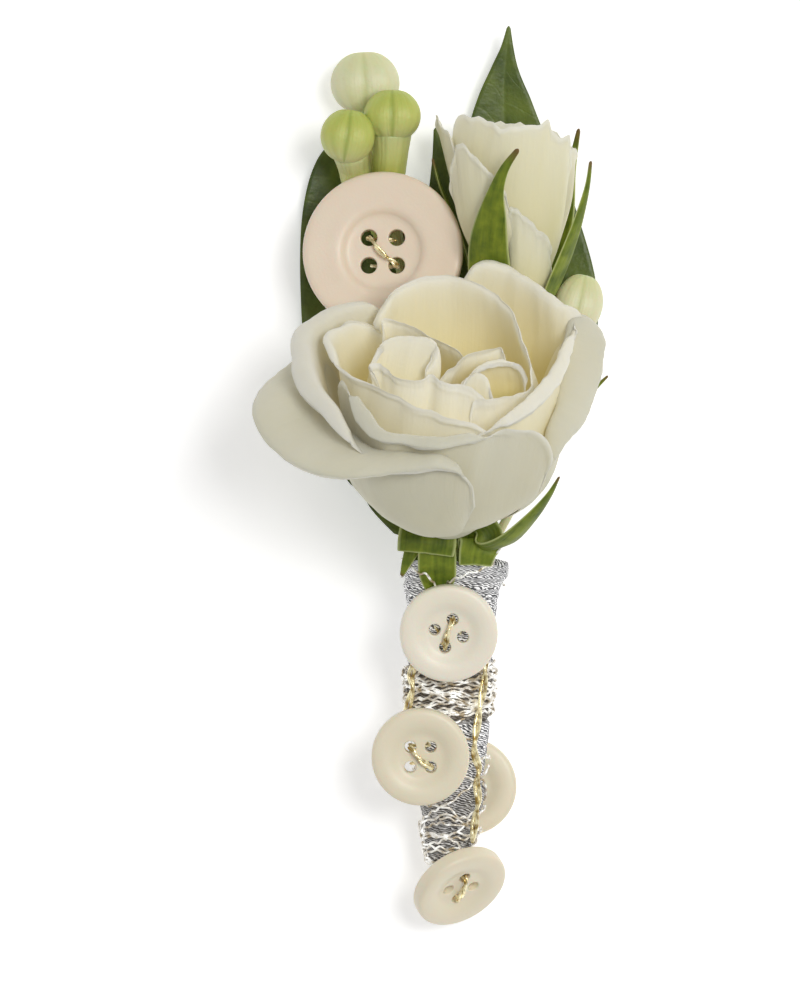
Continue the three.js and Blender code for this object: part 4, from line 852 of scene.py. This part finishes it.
class Nodes:
    """Makes shader nodes in one node tree."""

    def __init__(self, tree):
        self.tree = tree

    def add(self, kind, inputs=None, **settings):
        """A new node: settings are its properties, inputs are sockets or values for its inputs."""
        made = self.tree.nodes.new(kind)
        for key, value in settings.items():
            setattr(made, key, value)
        for key, value in (inputs or {}).items():
            if isinstance(value, bpy.types.NodeSocket):
                self.tree.links.new(value, made.inputs[key])
            else:
                made.inputs[key].default_value = value
        return made

    def calc(self, operation, first, second=0.0, third=0.0):
        """The output of one Math node."""
        return self.add("ShaderNodeMath", {0: first, 1: second, 2: third}, operation=operation).outputs[0]

    def times(self, value, *factors):
        """The product of several values."""
        for factor in factors:
            value = self.calc("MULTIPLY", value, factor)
        return value

    def parts(self, vector):
        """The three coordinates of a vector."""
        return self.add("ShaderNodeSeparateXYZ", {0: vector}).outputs

    def vector(self, first, second, third=0.0):
        """A vector of three coordinates."""
        return self.add("ShaderNodeCombineXYZ", {0: first, 1: second, 2: third}).outputs[0]

    def noise(self, vector, scale, detail):
        """Smooth noise of a vector, from 0 to 1."""
        inputs = {"Vector": vector, "Scale": scale, "Detail": detail}
        return self.add("ShaderNodeTexNoise", inputs).outputs[0]

    def fade(self, value, start, end, low=0.0, high=1.0):
        """Goes from low where the value is start to high where it is end, and no further."""
        return self.add("ShaderNodeMapRange", {0: value, 1: start, 2: end, 3: low, 4: high}).outputs[0]

    def blend(self, share, first, second):
        """Two colours mixed by a share."""
        return self.add("ShaderNodeMix", {0: share, 6: first, 7: second}, data_type="RGBA").outputs[2]

    def ramp(self, share, *stops):
        """A colour ramp through (place, colour) stops."""
        made = self.add("ShaderNodeValToRGB", {"Fac": share})
        elements = made.color_ramp.elements
        while len(elements) < len(stops):
            elements.new(1.0)
        for element, (place, colour) in zip(elements, stops):
            element.position = place
            element.color = colour
        return made.outputs[0]

    def effect(self, name, vector, **values):
        """One of the shared groups placed in this tree; gives its output."""
        return self.add("ShaderNodeGroup", {"Vector": vector, **values}, node_tree=GROUPS[name]).outputs[0]


class Effect(Nodes):
    """A shader node group with number inputs, one Vector input and one number output."""

    def __init__(self, name, output, **inputs):
        super().__init__(bpy.data.node_groups.new(name, "ShaderNodeTree"))
        self.tree.interface.new_socket("Vector", in_out="INPUT", socket_type="NodeSocketVector")
        for key, value in inputs.items():
            made = self.tree.interface.new_socket(key, in_out="INPUT", socket_type="NodeSocketFloat")
            made.default_value = value
        self.tree.interface.new_socket(output, in_out="OUTPUT", socket_type="NodeSocketFloat")
        self.given = self.tree.nodes.new("NodeGroupInput").outputs
        self.result = self.tree.nodes.new("NodeGroupOutput").inputs[0]

    def close(self, value):
        """The finished group, with the value as its output."""
        self.tree.links.new(value, self.result)
        return self.tree


class Look(Nodes):
    """A material with its Principled shader's constants set, and the vectors that its patterns read:
    the two attributes and the object coordinates."""

    def __init__(self, name, **constants):
        self.material = bpy.data.materials.new(name)
        self.material.use_nodes = True
        super().__init__(self.material.node_tree)
        self.shader = self.tree.nodes["Principled BSDF"]
        for key, value in constants.items():
            self.shader.inputs[key.replace("_", " ")].default_value = value
        self.blade = self.add("ShaderNodeAttribute", attribute_name="blade").outputs["Vector"]
        self.reach = self.add("ShaderNodeAttribute", attribute_name="reach").outputs["Vector"]
        self.place = self.add("ShaderNodeTexCoord").outputs["Object"]

    def mottle(self, size):
        """Soft patches, size millimetres across."""
        return self.effect("mottle", self.place, Size=size)

    def link(self, value, name):
        """Leads a value to a socket of the shader."""
        self.tree.links.new(value, self.shader.inputs[name])

    def finish(self, colour, distance, height, *more):
        """The finished material, with its colour and a bump of the summed heights."""
        self.link(colour, "Base Color")
        for other in more:
            height = self.calc("ADD", height, other)
        bump = self.add("ShaderNodeBump", {"Height": height, "Distance": distance, "Strength": 1.0})
        self.link(bump.outputs[0], "Normal")
        return self.material


def fibres_group():
    """Fine lines that run lengthwise: noise of across and along in millimetres, with along
    stretched by Stretch and both divided by Width."""
    nodes = Effect("fibres", "Mask", Width=0.5, Stretch=12.0)
    across, along, seed = nodes.parts(nodes.given["Vector"])
    across = nodes.calc("DIVIDE", across, nodes.given["Width"])
    along = nodes.calc("DIVIDE", nodes.calc("DIVIDE", along, nodes.given["Width"]), nodes.given["Stretch"])
    place = nodes.vector(across, along, nodes.times(seed, 40.0))
    return nodes.close(nodes.noise(place, 1.0, 2.0))


def veins_group():
    """Mask of a leaf's veins: a line along the midrib, and slanted lines that leave it every Spacing
    millimetres and rise by Slant for each millimetre across."""
    nodes = Effect("veins", "Mask", Spacing=VEIN_SPACING, Slant=VEIN_SLANT, Width=0.25)
    vector, spacing, slant, width = nodes.given[:4]
    across, along, _ = nodes.parts(vector)
    across = nodes.calc("ABSOLUTE", across)
    phase = nodes.calc("DIVIDE", nodes.calc("SUBTRACT", along, nodes.times(across, slant)), spacing)
    off = nodes.times(nodes.calc("PINGPONG", phase, 0.5), spacing)
    line = nodes.calc("SUBTRACT", 1.0, nodes.calc("DIVIDE", off, width))
    middle = nodes.calc("SUBTRACT", 1.0, nodes.calc("DIVIDE", across, nodes.times(width, 1.6)))
    slanted = nodes.times(nodes.calc("MAXIMUM", line, 0.0), 0.55)
    return nodes.close(nodes.calc("MAXIMUM", nodes.calc("MAXIMUM", middle, 0.0), slanted))


def weave_group():
    """Height of a ribbed weave: ribs across Vector's first coordinate every Pitch millimetres, broken
    by cross threads at twice that pitch."""
    nodes = Effect("weave", "Height", Pitch=0.3)
    across, along, _ = nodes.parts(nodes.given["Vector"])
    full_turn, half_turn = 6.2832, 3.1416
    across = nodes.times(nodes.calc("DIVIDE", across, nodes.given["Pitch"]), full_turn)
    along = nodes.times(nodes.calc("DIVIDE", along, nodes.given["Pitch"]), half_turn)
    ribs = nodes.calc("SINE", across)
    cross = nodes.calc("SINE", nodes.calc("ADD", along, nodes.times(ribs, 1.2)))
    return nodes.close(nodes.calc("ADD", ribs, nodes.times(cross, 0.6)))


def mottle_group():
    """Soft patches in space, Size millimetres across, from noise of object coordinates."""
    nodes = Effect("mottle", "Mask", Size=4.0)
    scale = nodes.calc("DIVIDE", 1000.0, nodes.given["Size"])
    return nodes.close(nodes.noise(nodes.given["Vector"], scale, 3.0))


GROUPS = {"fibres": fibres_group(), "veins": veins_group(), "weave": weave_group(),
          "mottle": mottle_group()}


def petal_material(name, foot, low, wall, rim, inner, painted_shade):
    """Matt living petal: greenish foot, warm lower part, pale wall and rim, fine lengthwise veins.
    It glows a little all over, a painted glow for the light that comes through so thin a petal
    from behind, and the lower parts of petals whose seed is over inner glow more, in gold: painted
    light in the crevices. Petals whose seed is under 0.7 of inner take on a greyer cream by the
    given share, in clouds and less toward the rim: painted shade on the outer petals."""
    # Emission Strength sets a painted glow on every petal.
    look = Look(name, Roughness=0.55, Subsurface_Weight=0.3, Subsurface_Scale=0.0012,
                Subsurface_Radius=(1.0, 0.85, 0.55), Specular_IOR_Level=0.25, Sheen_Weight=0.08,
                Sheen_Roughness=0.5, Emission_Strength=0.115)
    _, along, seed = look.parts(look.blade)
    base = look.ramp(along, (0, foot), (0.25, low), (0.6, wall), (0.97, rim), (1, rim))
    fibres = look.effect("fibres", look.reach, Width=0.6, Stretch=16.0)
    patches = look.mottle(7.0)
    shade = look.calc("MULTIPLY_ADD", fibres, 0.12, look.times(patches, 0.22))
    colour = look.blend(shade, base, linear(216, 208, 180))
    # Painted shade: the outer petals turn toward a greyer cream, in clouds and less toward the rim.
    outer = look.calc("LESS_THAN", seed, 0.7 * inner)
    cloud = look.calc("MULTIPLY_ADD", patches, 0.5 * painted_shade, 0.8 * painted_shade)
    share = look.times(look.fade(along, 0.99, 0.84, 0.2, 1.0), cloud)
    colour = look.blend(look.times(outer, share), colour, linear(196, 193, 172))
    # Painted glow: grey on all petals, and gold low down in the inner petals, to light the crevices.
    deep = look.times(look.fade(along, 0.95, 0.3), look.calc("GREATER_THAN", seed, inner))
    light = look.ramp(deep, (0, (0.25, 0.25, 0.24, 1)), (0.55, linear(244, 239, 208)),
                      (0.9, linear(250, 220, 118)))
    look.link(light, "Emission Color")
    return look.finish(colour, 0.00006, fibres, look.times(look.mottle(0.5), 0.35))


def leaf_material():
    """Dark satin leaf with paler sunk veins."""
    look = Look("leaf_green", Roughness=0.45, Coat_Weight=0.05, Coat_Roughness=0.3,
                Subsurface_Weight=0.05, Subsurface_Scale=0.0006)
    veins = look.effect("veins", look.reach, Spacing=VEIN_SPACING, Slant=VEIN_SLANT, Width=0.3)
    base = look.ramp(look.mottle(3.5), (0.3, linear(62, 80, 22)), (0.7, linear(96, 112, 34)))
    colour = look.blend(look.times(veins, 0.22), base, linear(124, 140, 72))
    return look.finish(colour, 0.0001, look.times(veins, -0.35), look.mottle(0.8))


def calyx_material():
    """Green sepals and stalks: soft lengthwise fibres and pale thin edges. Sepals of seed 1 have brown
    tips, and those of seed 2 end bluntly in a pale edge."""
    look = Look("calyx_green", Roughness=0.5, Subsurface_Weight=0.08, Subsurface_Scale=0.0006,
                Specular_IOR_Level=0.3)
    across, along, seed = look.parts(look.blade)
    fibres = look.effect("fibres", look.reach, Width=0.5, Stretch=14.0)
    share = look.calc("MULTIPLY_ADD", fibres, 0.35, look.times(look.mottle(2.2), 0.65))
    base = look.ramp(share, (0.32, linear(70, 92, 20)), (0.66, linear(132, 146, 42)))
    blunt = look.calc("GREATER_THAN", seed, 0.5 * (POINTED + BLUNT))
    sepal = look.calc("GREATER_THAN", seed, 0.5 * POINTED)
    side = look.fade(look.calc("ABSOLUTE", across), 0.88, 0.97)
    edge = look.calc("MAXIMUM", side, look.times(look.fade(along, 0.93, 0.98), blunt))
    edge = look.times(edge, sepal, 0.7)
    tip = look.times(look.fade(along, 0.91, 0.99), look.calc("SUBTRACT", sepal, blunt), 0.9)
    colour = look.blend(tip, look.blend(edge, base, linear(196, 205, 140)), linear(112, 84, 48))
    return look.finish(colour, 0.0001, fibres, look.times(look.mottle(0.7), 0.5))


def bud_material(name, foot, low, high, groove):
    """Satin bud: colour from its stalk to its tip, with fine ribs, and darker in the four grooves: painted
    shade there.
    """
    look = Look(name, Roughness=0.46, Subsurface_Weight=0.25, Subsurface_Scale=0.0012)
    turn, along, seed = look.parts(look.blade)
    base = look.ramp(along, (0.1, foot), (0.5, low), (0.9, high), (1, high))
    # The four grooves, where the colour darkens toward the groove colour: painted shade.
    line = look.fade(look.calc("PINGPONG", look.times(turn, 4.0), 0.5), 0.09, 0.0)
    ball = look.calc("GREATER_THAN", seed, 0.5 * BALL_SEED)
    ribbed = look.vector(look.times(turn, 26.0), look.parts(look.reach)[1], seed)
    fibres = look.effect("fibres", ribbed, Width=0.9, Stretch=14.0)
    mask = look.calc("MULTIPLY_ADD", fibres, 0.5, look.times(line, ball, 0.4))
    colour = look.blend(mask, base, groove)
    return look.finish(colour, 0.00012, look.times(fibres, 1.6), look.times(look.mottle(0.6), 0.6))


def button_material(name, light, warm):
    """Satin cast resin with a faint cloud of a second tone."""
    look = Look(name, Roughness=0.4, Subsurface_Weight=0.2, Subsurface_Scale=0.001, Coat_Weight=0.08,
                Coat_Roughness=0.3)
    cloud = look.mottle(6.0)
    look.link(look.fade(cloud, 0.0, 1.0, 0.36, 0.5), "Roughness")
    return look.finish(look.blend(cloud, light, warm), 0.00002, look.mottle(0.35))


def metal_material(name, bright, dull, roughness, size, metallic, glint):
    """Bright drawn metal with fine bumps, duller in patches: the bright and dull patches are painted
    highlights and shade. The brightest patches give off a little light, a painted glint."""
    look = Look(name, Metallic=metallic, Roughness=roughness, Emission_Strength=glint)
    patches = look.mottle(size)
    # Painted glint: the brightest patches glow.
    look.link(look.ramp(patches, (0.42, BLACK), (0.66, bright)), "Emission Color")
    # Painted highlights and shade: bright and dull patches along the metal.
    colour = look.ramp(patches, (0.34, dull), (0.6, bright))
    return look.finish(colour, 0.00005, look.mottle(0.25))


def ribbon_material():
    """Metallic woven ribbon: broken bright threads with dark gaps between them, the gaps painted shade,
    along stretched noise and ribs that run aslant round it. Under the wire band it is darker and
    browner, painted shade of the wire, and below -37 mm it is darker and browner too. The bright
    threads glint a little elsewhere, a painted glint."""
    look = Look("ribbon_silver", Roughness=0.34, Metallic=0.15, Emission_Strength=0.3)
    across, along, _ = look.parts(look.reach)
    bent = look.calc("MULTIPLY_ADD", look.mottle(6.0), 1.4, along)
    slanted = look.vector(look.calc("MULTIPLY_ADD", across, 0.3, bent), across)
    threads = look.effect("fibres", slanted, Width=0.19, Stretch=6.0)
    ribs = look.effect("weave", slanted, Pitch=0.36)
    share = look.calc("MULTIPLY_ADD", look.mottle(1.6), 0.12, -0.04)
    share = look.calc("MULTIPLY_ADD", threads, 0.9, look.calc("MULTIPLY_ADD", ribs, 0.2, share))
    # Painted shade in the dark gaps between the bright threads.
    colour = look.ramp(share, (0.37, linear(60, 61, 64)), (0.47, linear(166, 167, 170)),
                       (0.57, linear(246, 246, 248)), (0.68, WHITE))
    # Painted shade under the wire band; below -37 mm the ribbon is simply darker and browner.
    y = look.parts(look.place)[1]
    off = look.calc("ABSOLUTE", look.calc("ADD", y, 0.0278))
    under = look.fade(off, 0.0042, 0.0034)
    lower = look.fade(y, -0.037, -0.042)
    shade = look.calc("MULTIPLY_ADD", under, 0.75, look.times(lower, 0.3))
    colour = look.blend(shade, colour, linear(98, 84, 62))
    # Painted glint: the bright threads glow, except under the wire band and low down.
    glow = look.ramp(share, (0.48, BLACK), (0.62, WHITE))
    look.link(look.blend(look.calc("MAXIMUM", under, lower), glow, BLACK), "Emission Color")
    return look.finish(colour, 0.00004, ribs, look.times(threads, 2.0))


# Pieces

def rose():
    """The open rose: its petals round a heart, which has the colours of a petal's lower third."""
    # The rose's outer petals get painted shade, and its inner ones a painted gold glow.
    cream = petal_material("rose_cream", foot=linear(170, 178, 108), low=linear(215, 207, 163),
                           wall=linear(221, 217, 203), rim=linear(228, 226, 215), inner=0.35, painted_shade=0.7)
    petals = [petal_solid(petal, columns=78, rows=40, seed=10 * k + 1, ragged=0.1, notch=4.4)
              for k, petal in enumerate(ROSE_PETALS.values())]
    heart = lathe_solid(ROSE_CORE, sides=48, rows=30)
    heart["blade"] = heart["blade"] * 0.3
    bloom = moved(merged([*petals, heart]), ROSE_FOOT, ROSE_TURN)
    build("rose_bloom", bloom, cream, "rose_cream", "rose_petals")


def rosebud():
    """The half-open bud: its more ragged petals round a heart."""
    cream = petal_material("rosebud_cream", foot=linear(176, 180, 108), low=linear(222, 214, 164),
                           wall=linear(224, 220, 195), rim=linear(228, 226, 210), inner=3.5, painted_shade=0)
    petals = [petal_solid(petal, columns=64, rows=36, seed=10 * k + 301, ragged=0.3, notch=2.3)
              for k, petal in enumerate(BUD_PETALS.values())]
    heart = lathe_solid(BUD_CORE, sides=40, rows=24)
    bloom = moved(merged([*petals, heart]), BUD_FOOT, BUD_TURN)
    build("rosebud_bloom", bloom, cream, "rose_cream", "rosebud_petals")


def calyxes():
    """Sepals, hip and stem of the rose and of its bud. The rose's first three sepals end bluntly."""
    green = calyx_material()
    sepals = [blade_solid(midrib, facing, fold, SEPAL, rows=44, columns=14,
                          seed=BLUNT if k < BLUNT_SEPALS else POINTED)
              for k, (facing, fold, midrib) in enumerate(ROSE_SEPALS)]
    hip = moved(lathe_solid(ROSE_HIP, sides=40, rows=24), ROSE_FOOT, ROSE_TURN)
    solids = [*sepals, hip, tube_solid(ROSE_STEM, sides=24, rows=60)]
    build("rose_calyx_green", merged(solids), green, "calyx_green", "rose_calyx")
    sepals = [blade_solid(midrib, facing, fold, SEPAL, rows=48, columns=14, seed=POINTED)
              for facing, fold, midrib in BUD_SEPALS]
    hip = lathe_solid(BUD_HIP, sides=40, rows=24)
    head = moved(merged([*sepals, hip]), BUD_FOOT, BUD_TURN)
    solids = [head, tube_solid(BUD_STEM, sides=20, rows=60)]
    build("rosebud_calyx_green", merged(solids), green, "calyx_green", "rosebud_calyx")


def bouvardia():
    """The two lime buds on their sprig, and two pale buds, each on a stem of its own."""
    lime = bud_material("bud_lime", foot=linear(214, 214, 158), low=linear(206, 210, 116),
                        high=linear(178, 190, 76), groove=linear(140, 156, 56))
    pale = bud_material("bud_cream", foot=linear(232, 228, 190), low=linear(230, 228, 196),
                        high=linear(214, 216, 160), groove=linear(198, 202, 140))
    green = [ball_solid(*bud) for *bud, _ in GREEN_BUDS]
    green += [tube_solid(tube, sides=28, rows=40) for *_, tube in GREEN_BUDS]
    green.append(tube_solid(SPRIG_STEM, sides=14, rows=50))
    build("bouvardia_lime_buds", merged(green), lime, "bud_lime", "bouvardia_green_buds")
    for name, bud, stem in (("cream", CREAM_BUD, CREAM_STEM), ("side", SIDE_BUD, SIDE_STEM)):
        solid = merged([ball_solid(*bud), tube_solid(stem, sides=16, rows=60)])
        build(f"bouvardia_pale_{name}", solid, pale, "bud_cream", f"bouvardia_{name}_bud")


def leaves():
    """Three leaves, each with its stalk."""
    green = leaf_material()
    for name, (fold, midrib, stalk) in LEAVES.items():
        blade = blade_solid(midrib, UP, fold, LEAF, rows=110, columns=48, seed=POINTED, vein=0.03)
        solid = merged([blade, tube_solid(stalk, sides=10, rows=40)])
        build(name + "_blade", solid, green, "leaf_green", name)


def binding(gold):
    """The ribbon round the stems, the silver wire over it, and the two gold cords."""
    build("ribbon_wrap", ribbon_solid(), ribbon_material(), "ribbon_silver", "ribbon_sleeve")
    # Silver whose bright and dull patches are painted highlights and shade, with a painted glint.
    silver = metal_material("wire_silver", bright=linear(255, 255, 252), dull=linear(184, 166, 134),
                            roughness=0.26, size=1.1, metallic=0.3, glint=0.28)
    loose = [crimped(curve(points, np.linspace(0, 1, 60)), radius=0.14, seed=30 + k)
             for k, points in enumerate(LOOSE_WIRES)]
    for name, coils in COILS.items():
        strands = [coil_solid(*coil) for coil in coils]
        if name == "top":
            strands += loose
        build(f"wire_{name}_strands", merged(strands), silver, "wire_silver", f"wire_{name}")
    for name, points in CORDS.items():
        y, degrees = np.array(points, float).T
        line = curve(around_sleeve(y, degrees, CORD_OFF), np.linspace(0, 1, 240))
        x, z = sleeve_at(line[:, 1])[:2]
        outward = unit(line - np.stack([x, line[:, 1], z], -1))
        cord = twisted(line, outward, spread=0.27, radius=0.25, pitch=9, sides=10)
        build(name + "_twist", cord, gold, "cord_gold", name)


def buttons(gold):
    """Five buttons and the gold threads that hold them."""
    blush = button_material("button_blush", light=linear(236, 220, 200), warm=linear(230, 212, 190))
    ivory = button_material("button_ivory", light=linear(242, 236, 220), warm=linear(237, 229, 210))
    cream = button_material("button_cream", light=linear(235, 227, 203), warm=linear(228, 217, 190))
    bodies = {"large": blush, "upper": ivory}
    for name, (at, spin, turns, ends, depth) in BUTTONS.items():
        large = name == "large"
        shape = LARGE_BUTTON if large else SMALL_BUTTON
        slot = "button_blush" if large else "button_ivory"
        disc = moved(button_solid(shape, spin), at, turns)
        build(f"button_{name}_disc", disc, bodies.get(name, cream), slot, f"button_{name}")
        tie = moved(thread_solid(shape, spin, ends, depth), at, turns)
        build(f"tie_{name}_thread", tie, gold, "tie_gold", f"tie_{name}")


# Studio, in metres

KEY_PLACE = (0.32, 0.16, 0.97)
KEY_AIM = (0, 0, 0.01)
CAMERA_PLACE = (-0.004204, -0.003242, 1.010)


def white_floor():
    """A white floor just under the model, which gives off light of its own like a lit table."""
    mesh = bpy.data.meshes.new("floor")
    reach = 1.5
    mesh.from_pydata([(-reach, -reach, 0), (reach, -reach, 0), (reach, reach, 0), (-reach, reach, 0)], [],
                     [(0, 1, 2, 3)])
    white = bpy.data.materials.new("floor_white")
    white.use_nodes = True
    inputs = white.node_tree.nodes["Principled BSDF"].inputs
    inputs["Base Color"].default_value = (0.93, 0.93, 0.94, 1)
    inputs["Emission Color"].default_value = (1, 1, 1, 1)
    inputs["Emission Strength"].default_value = 0.4
    inputs["Roughness"].default_value = 0.9
    mesh.materials.append(white)
    floor = placed("floor", mesh)
    floor.location.z = -0.00005


def studio():
    """A white floor under a large soft light from the right, with a weak fill all round, and the
    camera straight above."""
    white_floor()
    world = bpy.data.worlds.new("studio")
    world.use_nodes = True
    world.node_tree.nodes["Background"].inputs["Color"].default_value = (1, 1, 1, 1)
    world.node_tree.nodes["Background"].inputs["Strength"].default_value = 0.42
    bpy.context.scene.world = world
    key = bpy.data.lights.new("key", "AREA")
    key.energy, key.size, key.color = 5.15, 0.36, (1, 0.995, 0.98)
    lamp = placed("key", key)
    lamp.location = KEY_PLACE
    aim = np.array(KEY_AIM) - np.array(KEY_PLACE)
    lamp.rotation_euler = Vector(aim).to_track_quat("-Z", "Y").to_euler()
    camera = bpy.data.cameras.new("camera")
    camera.sensor_width = 36
    camera.lens = 281.25
    camera.clip_start = 0.01
    view = placed("camera", camera)
    view.location = CAMERA_PLACE
    bpy.context.scene.camera = view
    bpy.context.scene.view_settings.view_transform = "Standard"


studio()
rose()
rosebud()
calyxes()
bouvardia()
leaves()
# Gold whose bright and dull patches are painted highlights and shade, with a painted glint.
cord_gold = metal_material("cord_gold", bright=linear(255, 246, 204), dull=linear(168, 138, 66),
                           roughness=0.2, size=0.9, metallic=0.7, glint=0.2)
binding(cord_gold)
buttons(cord_gold)
